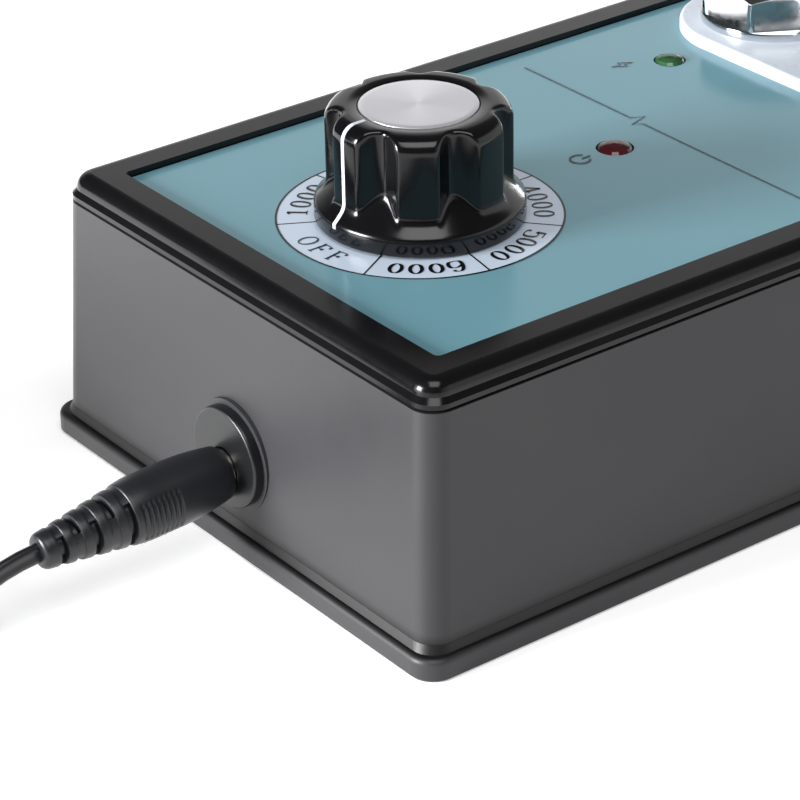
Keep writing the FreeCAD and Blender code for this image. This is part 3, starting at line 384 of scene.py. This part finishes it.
# %% Figure-of-eight outline swept along it
outline = bpy.data.curves.new("two_cores", "CURVE")
outline.dimensions = "2D"
core = outline.splines.new("POLY")
ring = []
for side in (1, -1):
    for angle in range(-50, 231, 35):
        a = math.radians(angle) if side == 1 else math.radians(angle + 180)
        ring.append((0.7 * math.cos(a), 0.7 * math.sin(a) + side * 0.7))
core.points.add(len(ring) - 1)
for point, (x, y) in zip(core.points, ring):
    point.co = (x * MM, y * MM, 0, 1)
core.use_cyclic_u = True
section = bpy.data.objects.new("two_cores", outline)
bpy.context.collection.objects.link(section)
curve.bevel_mode = "OBJECT"
curve.bevel_object = section
curve.use_fill_caps = True
bpy.ops.object.select_all(action="DESELECT")
lead.select_set(True)
bpy.context.view_layer.objects.active = lead
bpy.ops.object.convert(target="MESH")
bpy.data.objects.remove(section)
lead = bpy.context.object
print("lead mesh", len(lead.data.polygons), "faces, box", [round(d / MM, 1) for d in lead.dimensions])

# %% [markdown]
# ## The knob
# The knob is moulded: a flared skirt, a body with seven flutes and a flat rim round a
# metal disc. Cutting the flutes out with cylinders would leave hard edges, and a bevel
# over such a cut comes out ragged. So the knob is spun as a fine grid, and then each
# point is drawn in or out to a radius in which lobe, flute and skirt run softly into
# each other, as they do in a polished mould.

# %% Knob, spun as a grid
panel_top = 38.1
knob_foot = Vector((0.0, -36.6, panel_top))      # where its axis meets the panel, mm
skirt_radius, lobe_radius, knob_height, shoulder = 13.75, 12.1, 15.7, 2.0
flutes, flute_depth, flute_half_angle, top_round = 7, 2.1, math.radians(13.0), 0.5
cone_start = 2.8                                 # height at which the skirt turns inwards
outline = [(0, 12.5), (3.05, 12.5), (3.05, 4.2), (8.0, 4.2), (8.0, 0.4), (13.4, 0.4),
           (13.65, 0.5), (13.75, 0.75), (13.75, 2.3)]
outline += [(lobe_radius, 2.6 + 0.3 * k) for k in range(37)]
for k in range(9):
    lean = math.pi / 16 * k
    outline.append((lobe_radius - shoulder + shoulder * math.cos(lean),
                    knob_height - shoulder + shoulder * math.sin(lean)))
outline += [(9.4, knob_height), (8.1, knob_height), (7.93, knob_height - 0.15),
            (7.93, knob_height - 0.8), (0, knob_height - 0.8)]
knob = turned("knob_moulding", outline, knob_foot, steps=280)


# %% Draw the grid in to seven flutes
def rounded_less(a, b, ease):
    """The smaller of two lengths, rounded over a width where they cross."""
    share = min(1.0, max(0.0, 0.5 + 0.5 * (b - a) / ease))
    return b + (a - b) * share - ease * share * (1 - share)


def knob_radius(radius, height, angle):
    """The radius at which lobe, flute and the skirt's cone meet."""
    period = math.tau / flutes
    off_flute = (angle + math.pi / 2) % period - period / 2
    flute = lobe_radius - flute_depth + flute_depth * (off_flute / flute_half_angle) ** 2
    into_round = height - knob_height + top_round
    if into_round > 0:
        flute -= top_round - math.sqrt(max(0.0, top_round ** 2 - into_round ** 2))
    cone = min(skirt_radius, skirt_radius + cone_start - height)
    return -rounded_less(-rounded_less(radius, flute, 0.6), -cone, 0.8)


grid = bmesh.from_edit_mesh(knob.data)
for point in grid.verts:
    place = point.co / MM - knob_foot
    radius = math.hypot(place.x, place.y)
    if radius > 9.0 and place.z > 2.5:
        wanted = knob_radius(radius, place.z, math.atan2(place.y, place.x))
        point.co.x *= wanted / radius
        point.co.y = (knob_foot.y + place.y * wanted / radius) * MM
bmesh.update_edit_mesh(knob.data)
bpy.ops.object.mode_set(mode="OBJECT")
hole = begin(bpy.ops.mesh.primitive_cylinder_add, "screw_hole", vertices=40, radius=1.52 * MM,
             depth=11 * MM, location=Vector((0, -29.1, 46.3)) * MM, rotation=(math.pi / 2, 0, 0))
bpy.ops.object.mode_set(mode="OBJECT")
apply_modifier(knob, "BOOLEAN", object=hole, operation="DIFFERENCE", solver="EXACT")
bpy.data.objects.remove(hole)
close(knob, "dial_knob", glossy_phenolic, smooth=45, stands_for=("knob",))
print("knob", len(knob.data.polygons), "faces, across", round(knob.dimensions.x / MM, 2), "mm")

# %% [markdown]
# The white line is paint in a shallow groove. It follows the outline of one lobe from
# the rim of the disc over the shoulder and out along the skirt, so it is one edge
# extruded along that outline and given the thickness of the paint.

# %% Pointer line
line_width, paint_thickness, sunk_by = 0.62, 0.25, 0.08
down_lobe = [(8.5, knob_height), (9.3, knob_height)]
for k in range(8, -1, -1):
    lean = math.pi / 16 * k
    down_lobe.append((lobe_radius - shoulder + shoulder * math.cos(lean),
                      knob_height - shoulder + shoulder * math.sin(lean)))
down_lobe += [(lobe_radius, 9.0)]
down_lobe += [(knob_radius(lobe_radius, 6.4 - 0.3 * k, -math.pi / 2), 6.4 - 0.3 * k) for k in range(13)]
down_lobe += [(skirt_radius, 2.2)]
steps = []
for k, (radius, height) in enumerate(down_lobe):
    before, after = down_lobe[max(0, k - 1)], down_lobe[min(len(down_lobe) - 1, k + 1)]
    way = Vector((after[0] - before[0], after[1] - before[1])).normalized()
    sunk = Vector((radius, height)) + Vector((way.y, -way.x)) * sunk_by
    steps.append(knob_foot + Vector((-line_width / 2, -sunk.x, sunk.y)))
pointer = begin(bpy.ops.mesh.primitive_plane_add, "pointer_line", size=0.001)
bpy.ops.mesh.merge(type="CENTER")
bpy.ops.transform.translate(value=steps[0] * MM)
bpy.ops.mesh.extrude_region_move(TRANSFORM_OT_translate={"value": (line_width * MM, 0, 0)})
bpy.ops.mesh.select_all(action="SELECT")
for before, after in zip(steps, steps[1:]):
    bpy.ops.mesh.extrude_region_move(TRANSFORM_OT_translate={"value": (after - before) * MM})
bpy.ops.object.mode_set(mode="OBJECT")
apply_modifier(pointer, "SOLIDIFY", thickness=paint_thickness * MM, offset=0.0)
close(pointer, "dial_knob", pointer_paint, smooth=40, stands_for=("knob_pointer",))
print("pointer", [round(d / MM, 2) for d in pointer.dimensions])

# %% [markdown]
# The disc in the top of the knob is turned aluminium with a fine chamfer, pressed into
# a shallow seat. It is spun, and its rings come from the finish.

# %% Disc in the knob
cap = turned("cap_disc", [(0, 14.9), (7.8, 14.9), (7.8, 15.45), (7.72, 15.6), (7.55, 15.68), (7.0, 15.7),
                          (0, 15.7)], knob_foot, steps=128)
close(cap, "dial_knob", faced_aluminium, smooth=30, stands_for=("knob_cap",))
print("disc", [round(d / MM, 2) for d in cap.dimensions])

# %% [markdown]
# ## The plug sockets
# Each socket is a chromed collar: a round flange, a hexagon to turn it by, and a bush
# that goes down through a white plate into the box. The collar is built as it would be
# turned and milled: a hexagon bar, trimmed by a lathe shape that takes its corners
# off, and joined to the flange. A bevel breaks every edge, and the bore with its thread,
# drawn as rings, is cut last. The plate's solid has a rounded rim and needs only a finish.

# %% Collar: hexagon, lathe trim, flange and bore
socket_x, socket_y, across_flats, bore_radius, thread_depth = 18.0, 41.7, 17.6, 6.6, 0.32
flange_radius, bush_radius, bush_end, flange_foot, flange_top, collar_top = 10.2, 8.2, 29.8, 39.8, 41.0, 46.0
thread_pitch, thread_start, thread_turns = 1.25, 33.4, 9
middle = Vector((-socket_x, socket_y, 0.0))
collar = begin(bpy.ops.mesh.primitive_cylinder_add, "socket_collar_milled_left", vertices=6,
               radius=across_flats / math.sqrt(3) * MM, depth=5.2 * MM,
               location=(middle + Vector((0, 0, 43.4))) * MM, rotation=(0, 0, math.radians(30)))
bpy.ops.object.mode_set(mode="OBJECT")
trim = turned("trim", [(0, 40.7), (10.4, 40.7), (10.4, 45.1), (8.75, collar_top), (0, collar_top)],
              middle)
bpy.ops.object.mode_set(mode="OBJECT")
base = turned("flange", [(0, bush_end), (bush_radius, bush_end), (bush_radius, flange_foot),
                         (flange_radius, flange_foot), (flange_radius, flange_top), (0, flange_top)],
              middle)
bpy.ops.object.mode_set(mode="OBJECT")
thread = [(0, 29.0), (bore_radius, 29.0), (bore_radius, 33.0)]
for k in range(thread_turns):
    low = thread_start + thread_pitch * k
    thread += [(bore_radius, low), (bore_radius + thread_depth, low + 0.5),
               (bore_radius + thread_depth, low + 0.62), (bore_radius, low + 1.12)]
thread += [(bore_radius, 45.2), (7.5, 46.1), (0, 46.1)]
bore = turned("bore", thread, middle)
bpy.ops.object.mode_set(mode="OBJECT")
for kind, tool in (("INTERSECT", trim), ("UNION", base)):
    apply_modifier(collar, "BOOLEAN", object=tool, operation=kind, solver="EXACT")
    bpy.data.objects.remove(tool)
apply_modifier(collar, "BEVEL", width=0.2 * MM, segments=2, limit_method="ANGLE",
               angle_limit=math.radians(25))
apply_modifier(collar, "BOOLEAN", object=bore, operation="DIFFERENCE", solver="EXACT")
bpy.data.objects.remove(bore)
close(collar, "case", bright_chrome, smooth=40, stands_for=("socket_collar_left",))
other = collar.copy()
other.data = collar.data.copy()
other.name = "socket_collar_milled_right"
bpy.context.collection.objects.link(other)
other.location.x = 2 * socket_x * MM
close(other, "case", None, smooth=0, stands_for=("socket_collar_right",))
print("collar", len(collar.data.polygons), "faces,", [round(d / MM, 1) for d in collar.dimensions])

# %% [markdown]
# ## The plug
# Plug and strain relief are one soft moulding, narrow where it meets the jack. Its
# sides carry eight finger ribs. The relief has five slots, in turn on the sides and on
# the top and bottom, which let it bend. It is spun as a grid again: the ribs and slots
# are then pressed in only where the angle round the axis is right.

# %% Plug, spun as a grid
slots = [15.75, 18.15, 20.55, 22.95, 25.2]
slot_depth, rib_depth, rib_pitch, ribs_start, ribs_end = 1.15, 0.32, 0.75, 8.4, 14.5


def plug_radius(along):
    """The smooth radius of the moulding at a distance from the jack, mm."""
    if along < 8.2:
        return 4.4 - 0.85 * (1 - along / 8.2) ** 2
    if along < 12.0:
        return 4.4
    if along < 15.2:
        return 4.4 - 0.3 * ((along - 12.0) / 3.2) ** 2
    return 4.1 - 1.65 * (along - 15.2) / 11.8


stops = [0.25 + 0.9 * k for k in range(9)] + [8.2 + 0.125 * k for k in range(52)]
for slot in slots:
    stops += [slot + step for step in (-1.0, -0.72, -0.56, -0.48, -0.42, 0.42, 0.48, 0.56, 0.72, 1.0)]
stops += [26.6, 27.0]
outline = [(0, 0), (3.2, 0), (3.45, 0.08)] + [(plug_radius(a), a) for a in sorted(stops)]
outline += [(2.36, 27.3), (2.15, 27.58), (1.8, 27.7), (0, 27.7)]
plug = turned("plug_moulding", outline, plug_start, axis=plug_axis, steps=96)

# %% Press in the ribs and slots
plug_up = Vector((0, -math.sin(droop), math.cos(droop)))
grid = bmesh.from_edit_mesh(plug.data)
for point in grid.verts:
    place = point.co / MM - plug_start
    along = place.dot(plug_axis)
    across, rise = place.x, place.dot(plug_up)
    radius = math.hypot(across, rise)
    if radius < 1.9 or along < 8.0 or along > 27.1:
        continue
    off_side = math.degrees(math.atan2(abs(rise), abs(across)))     # 0 at the sides, 90 on top
    press = 0.0
    if ribs_start < along < ribs_end and off_side < 38:
        fade = min(1.0, (38 - off_side) / 5)
        press = rib_depth * fade * (0.5 - 0.5 * math.cos(math.tau * (along - ribs_start) / rib_pitch))
    for k, slot in enumerate(slots):
        if abs(along - slot) < 0.5:
            press = 0.2
            inside = off_side < 52 if k % 2 == 0 else off_side > 38
            if inside and abs(along - slot) < 0.45:
                press = slot_depth
        elif abs(along - slot) < 0.6:
            press = 0.05
    point.co -= (Vector((across, 0, 0)) + plug_up * rise).normalized() * press * MM
bmesh.update_edit_mesh(plug.data)
close(plug, "case", plug_vinyl, smooth=38, stands_for=("dc_plug", "strain_relief"))
print("plug", [round(d / MM, 1) for d in plug.dimensions])

# %% [markdown]
# ## The printed panel
# The panel is a film printed in several inks. The dial is a pale disc with a fine dark
# edge, one wide field for OFF and six for the rates from 1000 to 6000. Blender's own
# font has no serifs, so the figures are drawn as a pen with an oval nib would draw
# them: each is a path, made thick where it runs down and thin where it runs across.
# Inks are flat pieces a few hundredths of a millimetre over the film.

# %% Pen for figures and marks
def eased(points):
    """Cuts the corners of a path three times, which makes a smooth curve of it."""
    points = [Vector((x, y)) for x, y in points]
    for _ in range(3):
        cut = [p for a, b in zip(points, points[1:]) for p in (a.lerp(b, 0.25), a.lerp(b, 0.75))]
        points = [points[0]] + cut[1:-1] + [points[-1]]
    return points


def oval(x, y, wide, high):
    """A closed oval path round a middle."""
    return [(x + wide * math.cos(math.radians(a)), y + high * math.sin(math.radians(a)))
            for a in range(0, 361, 15)]


curve_6 = [(0.52, 0.84), (0.48, 0.99), (0.2, 1.03), (0.03, 0.6), (0.03, -0.03), (0.36, -0.05),
           (0.62, 0.06), (0.62, 0.6), (0.3, 0.64), (0.09, 0.42)]
curve_5 = [(0.13, 0.5), (0.28, 0.68), (0.6, 0.6), (0.64, 0.02), (0.3, -0.05), (0.06, 0.04), (0.08, 0.2)]
curve_3_top = [(0.08, 0.8), (0.14, 1.02), (0.56, 1.0), (0.54, 0.56), (0.24, 0.53)]
curve_3_foot = [(0.24, 0.53), (0.62, 0.54), (0.62, -0.04), (0.14, -0.04), (0.06, 0.2)]
curve_2 = [(0.08, 0.72), (0.08, 1.03), (0.58, 1.02), (0.56, 0.6), (0.28, 0.34), (0.06, 0.05)]
glyphs = {
    "0": [oval(0.32, 0.49, 0.25, 0.47)],
    "1": [[(0.33, 0.03), (0.33, 0.97)], [(0.14, 0.03), (0.52, 0.03)], [(0.33, 0.96), (0.15, 0.84)]],
    "2": [eased(curve_2), [(0.06, 0.05), (0.58, 0.05)], [(0.58, 0.05), (0.6, 0.2)]],
    "3": [eased(curve_3_top), eased(curve_3_foot)],
    "4": [[(0.46, 0.97), (0.04, 0.3)], [(0.03, 0.3), (0.64, 0.3)], [(0.46, 0.97), (0.46, 0.03)],
          [(0.3, 0.03), (0.62, 0.03)]],
    "5": [[(0.14, 0.93), (0.56, 0.93)], [(0.15, 0.95), (0.12, 0.5)], eased(curve_5)],
    "6": [eased(curve_6)],
    "O": [oval(0.38, 0.49, 0.33, 0.47)],
    "F": [[(0.16, 0.03), (0.16, 0.97)], [(0.04, 0.97), (0.62, 0.97)], [(0.62, 0.97), (0.63, 0.78)],
          [(0.16, 0.51), (0.44, 0.51)], [(0.44, 0.6), (0.44, 0.42)], [(0.04, 0.03), (0.3, 0.03)]],
}
print("figures", len(glyphs))


# %% Ink laid along paths
def pen(strokes, thick, thin):
    """Both edges of each stroke: thick where it runs down, thin where it runs across."""
    edges = []
    for stroke in strokes:
        stroke = [Vector(p) for p in stroke]
        closed = len(stroke) > 4 and (stroke[0] - stroke[-1]).length < 1e-4
        sides = []
        for k, point in enumerate(stroke):
            before = stroke[k - 1] if k else (stroke[-2] if closed else point)
            after = stroke[k + 1] if k < len(stroke) - 1 else (stroke[1] if closed else point)
            way = (after - before).normalized()
            reach = math.hypot(thick / 2 * way.y, thin / 2 * way.x)
            sides.append((point + Vector((-way.y, way.x)) * reach, point - Vector((-way.y, way.x)) * reach))
        edges.append(sides)
    return edges


def print_ink(name, marks, material, height=38.2):
    """Lays marks on the panel: each is (pen edges, centre, right, up), all in mm."""
    mesh = bmesh.new()
    for edges, centre, right, up in marks:
        for sides in edges:
            rows = []
            for pair in sides:
                spots = [Vector(centre) + Vector(right) * p.x + Vector(up) * p.y for p in pair]
                rows.append([mesh.verts.new((s.x * MM, s.y * MM, height * MM)) for s in spots])
            for (a, b), (c, d) in zip(rows, rows[1:]):
                mesh.faces.new((a, b, d, c))
    mesh.normal_update()
    for face in mesh.faces:
        if face.normal.z < 0:
            face.normal_flip()
    data = bpy.data.meshes.new(name)
    mesh.to_mesh(data)
    piece = bpy.data.objects.new(name, data)
    bpy.context.collection.objects.link(piece)
    print(name, len(data.polygons), "faces")
    return close(piece, "case", material, smooth=0)


# %% Dial face, its edge and the lines between fields
dial_radius = 18.7
dial = knob_foot.xy
face = begin(bpy.ops.mesh.primitive_circle_add, "dial_face", vertices=160, radius=dial_radius * MM,
             fill_type="NGON", location=(0, dial.y * MM, (panel_top + 0.01) * MM))
bpy.ops.mesh.extrude_region_move(TRANSFORM_OT_translate={"value": (0, 0, 0.05 * MM)})
bpy.ops.mesh.select_all(action="SELECT")
bpy.ops.mesh.normals_make_consistent(inside=False)
close(face, "case", dial_ink, smooth=0)


def spoke(angle):
    """The unit vector from the dial's axis at an angle in degrees."""
    return Vector((math.cos(math.radians(angle)), math.sin(math.radians(angle))))


flat = ((1, 0), (0, 1))
edge = pen([[tuple(dial_radius * spoke(a)) for a in range(0, 361, 3)]], 0.28, 0.28)
fields = pen([[tuple(12 * spoke(a)), tuple(dial_radius * spoke(a))]
              for a in (-120, -60, -10, 40, 90, 140, 190)], 0.24, 0.24)
print_ink("dial_lines", [(edge, dial, *flat), (fields, dial, *flat)], black_ink, 38.19)


# %% Figures round the dial
def figure(glyph, size, thick, thin, wide=1.1):
    """One figure, centred, in mm."""
    strokes = [[((x - 0.32) * wide * size, (y - 0.49) * size) for x, y in stroke]
               for stroke in glyphs[glyph]]
    return pen(strokes, thick * size, thin * size)


marks = []
for number, middle_angle in (("1000", -145), ("2000", 165), ("3000", 115), ("4000", 65), ("5000", 15),
                             ("6000", -35)):
    for k, digit in enumerate(number):
        out = spoke(middle_angle + 9.2 * (1.5 - k))
        marks.append((figure(digit, 2.75, 0.19, 0.06), dial + out * 16.0, (out.y, -out.x), out))
print_ink("dial_figures", marks, black_ink)
marks = []
for k, letter in enumerate("OFF"):
    out = spoke(-90 + 10.8 * (k - 1))
    marks.append((figure(letter, 2.8, 0.14, 0.07, 1.0), dial + out * 16.1, (-out.y, out.x), -out))
print_ink("dial_off", marks, grey_ink)

# %% [markdown]
# The rest of the panel's print is plain signs: the ring and bar that stand for power,
# a small flash by each signal lamp, and a fine rule with a pulse in it, which parts
# the dial from the sockets.

# %% Signs by the lamps, and the rule
power = [[(1.35 * math.sin(math.radians(a)), 1.35 * math.cos(math.radians(a))) for a in range(35, 326, 10)],
         [(0, 0.3), (0, 1.75)]]
flash = [[(0.3, 1.7), (-0.9, -0.2), (-0.1, -0.2), (-0.35, -1.7), (0.9, 0.3), (0.1, 0.3), (0.3, 1.7)]]
pulse = [[(-31, 0), (-9, 0), (-8, 0), (-7.2, 1.9), (-6.2, -1.3), (-5.4, 0), (-3, 0), (27, 0)]]
marks = [(pen(power, 0.34, 0.34), Vector((0, -9.6)), *flat),
         (pen(pulse, 0.22, 0.22), Vector((2, 4.5)), *flat)]
marks += [(pen(flash, 0.24, 0.24), Vector((20.9 * side, 15.8)), *flat) for side in (-1, 1)]
print_ink("panel_signs", marks, black_ink)

# %% Dress the solids
finishes = {
    moulded_abs: ["housing"],
    lid_abs: ["top_cover"],
    panel_film: ["panel_label"],
    zinc_steel: ["case_screws", "board_screws", "pot_nut", "pot_shaft", "potentiometer",
                 "knob_set_screw", "socket_clamp_nuts", "led_leads", "dc_jack_nut"],
    red_lens: ["led_power"],
    green_lens: ["led_signal_left", "led_signal_right"],
    plate_acetal: ["socket_plate"],
    nylon_white: ["socket_sleeve_left", "socket_sleeve_right"],
    turned_brass: ["contact_base_left", "contact_base_right", "contact_cup_left", "contact_cup_right"],
    spring_wire: ["contact_spring_left", "contact_spring_right"],
    jack_nylon: ["dc_jack"],
    nickel_plate: ["dc_plug_sleeve", "adapter_prongs"],
    glass_laminate: ["circuit_board"],
    pack_abs: ["power_adapter"],
    potted_epoxy: ["spark_coil_left", "spark_coil_right", "power_transistor", "timer_chip"],
    cord_vinyl: ["pot_wires", "lead_tie"],
    wire_red: ["jack_wires", "spark_lead_left", "spark_lead_right"],
    can_sleeve: ["main_capacitor", "small_capacitors"],
    sink_metal: ["heat_sink"],
    resistor_lacquer: ["resistors"],
}
dressed = 0
for finish, names in finishes.items():
    for name in names:
        for slot in nodes[name].material_slots:
            slot.material = finish
        dressed += 1
print("solids dressed", dressed)

# %% The lead rides on the case
close(lead, "case", cord_vinyl, smooth=40, stands_for=("power_lead", "lead_coil", "lead_tail"))

# %% [markdown]
# ## Table, world and lamps
# The table is white, with a glow for the camera that turns it fully white but leaves the
# object's shadow. Reflections see it bright at the left and dim to the right, in a room
# that is dark in front and has a white card behind, up to 25 degrees high. The panel
# mirrors the card, and the rounded rim of the lid mirrors the dark. Two soft lamps do the
# lighting.

# %% Table
table = begin(bpy.ops.mesh.primitive_plane_add, "table", size=6.0, location=(0, 0, 0))
bpy.ops.object.mode_set(mode="OBJECT")
paper, paper_shader = material_named("white_paper_sweep", Roughness=0.9, Base_Color=linear("#F2F2F2"))
rays = node(paper, "LightPath")
place = node(paper, "TexCoord")
split = node(paper, "SeparateXYZ", {0: place.outputs["Object"]})
# The glow that reflections see is a painted pool of light on the table: bright at the left, dim to the right
# and in front.
side = node(paper, "MapRange", {"Value": split.outputs["X"], "From Min": -0.03, "From Max": 0.06,
                                "To Min": 1.0, "To Max": 0.0})
back = node(paper, "MapRange", {"Value": split.outputs["Y"], "From Min": -0.08, "From Max": -0.02,
                                "To Min": 0.0, "To Max": 0.3})
painted_light_pool = node(paper, "Math", {0: side.outputs[0], 1: back.outputs[0]}, operation="MAXIMUM")
mirrored = node(paper, "Math", {0: rays.outputs["Is Glossy Ray"], 1: painted_light_pool.outputs[0]}, operation="MULTIPLY")
seen = node(paper, "Math", {0: rays.outputs["Is Camera Ray"], 1: rays.outputs["Is Transmission Ray"]},
            operation="MAXIMUM")
direct = node(paper, "Math", {0: seen.outputs[0], 1: 0.4}, operation="MULTIPLY")
glow = node(paper, "Math", {0: direct.outputs[0], 1: mirrored.outputs[0]}, operation="MAXIMUM")
paper_shader.inputs["Emission Color"].default_value = (1, 1, 1, 1)
link(paper, glow.outputs[0], paper_shader.inputs["Emission Strength"])
table.data.materials.append(paper)

# %% World
world = bpy.data.worlds.new("studio")
bpy.context.scene.world = world
world.use_nodes = True
direction = node(world, "TexCoord")
split = node(world, "SeparateXYZ", {0: direction.outputs["Generated"]})
depth = node(world, "MapRange", {"Value": split.outputs["Y"], "From Min": -0.3, "From Max": 0.5,
                                 "To Min": 0.0, "To Max": 1.0})
height = node(world, "MapRange", {"Value": split.outputs["Z"], "From Min": 0.38, "From Max": 0.48,
                                  "To Min": 1.0, "To Max": 0.12})
card = node(world, "Math", {0: depth.outputs[0], 1: height.outputs[0]}, operation="MULTIPLY")
room = node(world, "Math", {0: card.outputs[0], 1: 0.06}, operation="MAXIMUM")
rays = node(world, "LightPath")
seen = node(world, "Math", {0: rays.outputs["Is Camera Ray"], 1: rays.outputs["Is Transmission Ray"]},
            operation="MAXIMUM")
around = node(world, "Mix", {0: rays.outputs["Is Glossy Ray"], 2: 0.38, 3: room.outputs[0]})
strength = node(world, "Mix", {0: seen.outputs[0], 2: around.outputs[0], 3: 1.0})
backdrop = world.node_tree.nodes["Background"]
backdrop.inputs["Color"].default_value = (1, 1, 1, 1)
link(world, strength.outputs[0], backdrop.inputs["Strength"])


# %% Lamps
def lamp(name, place, aim, size, watts):
    """A square soft box at a place in metres, turned to look at a point."""
    data = bpy.data.lights.new(name, "AREA")
    data.size = size
    data.energy = watts
    made = bpy.data.objects.new(name, data)
    bpy.context.collection.objects.link(made)
    made.location = place
    made.rotation_euler = (Vector(aim) - Vector(place)).to_track_quat("-Z", "Y").to_euler()
    return made


lamp("key_box", (-0.3, -1.1, 0.27), (0, 0, 0.02), 0.42, 30.0)
lamp("top_box", (0.42, -0.31, 0.97), (0, 0, 0.02), 0.7, 5.5)
bpy.context.scene.view_settings.view_transform = "Standard"

# %% Bring the scene up to date
bpy.context.view_layer.update()
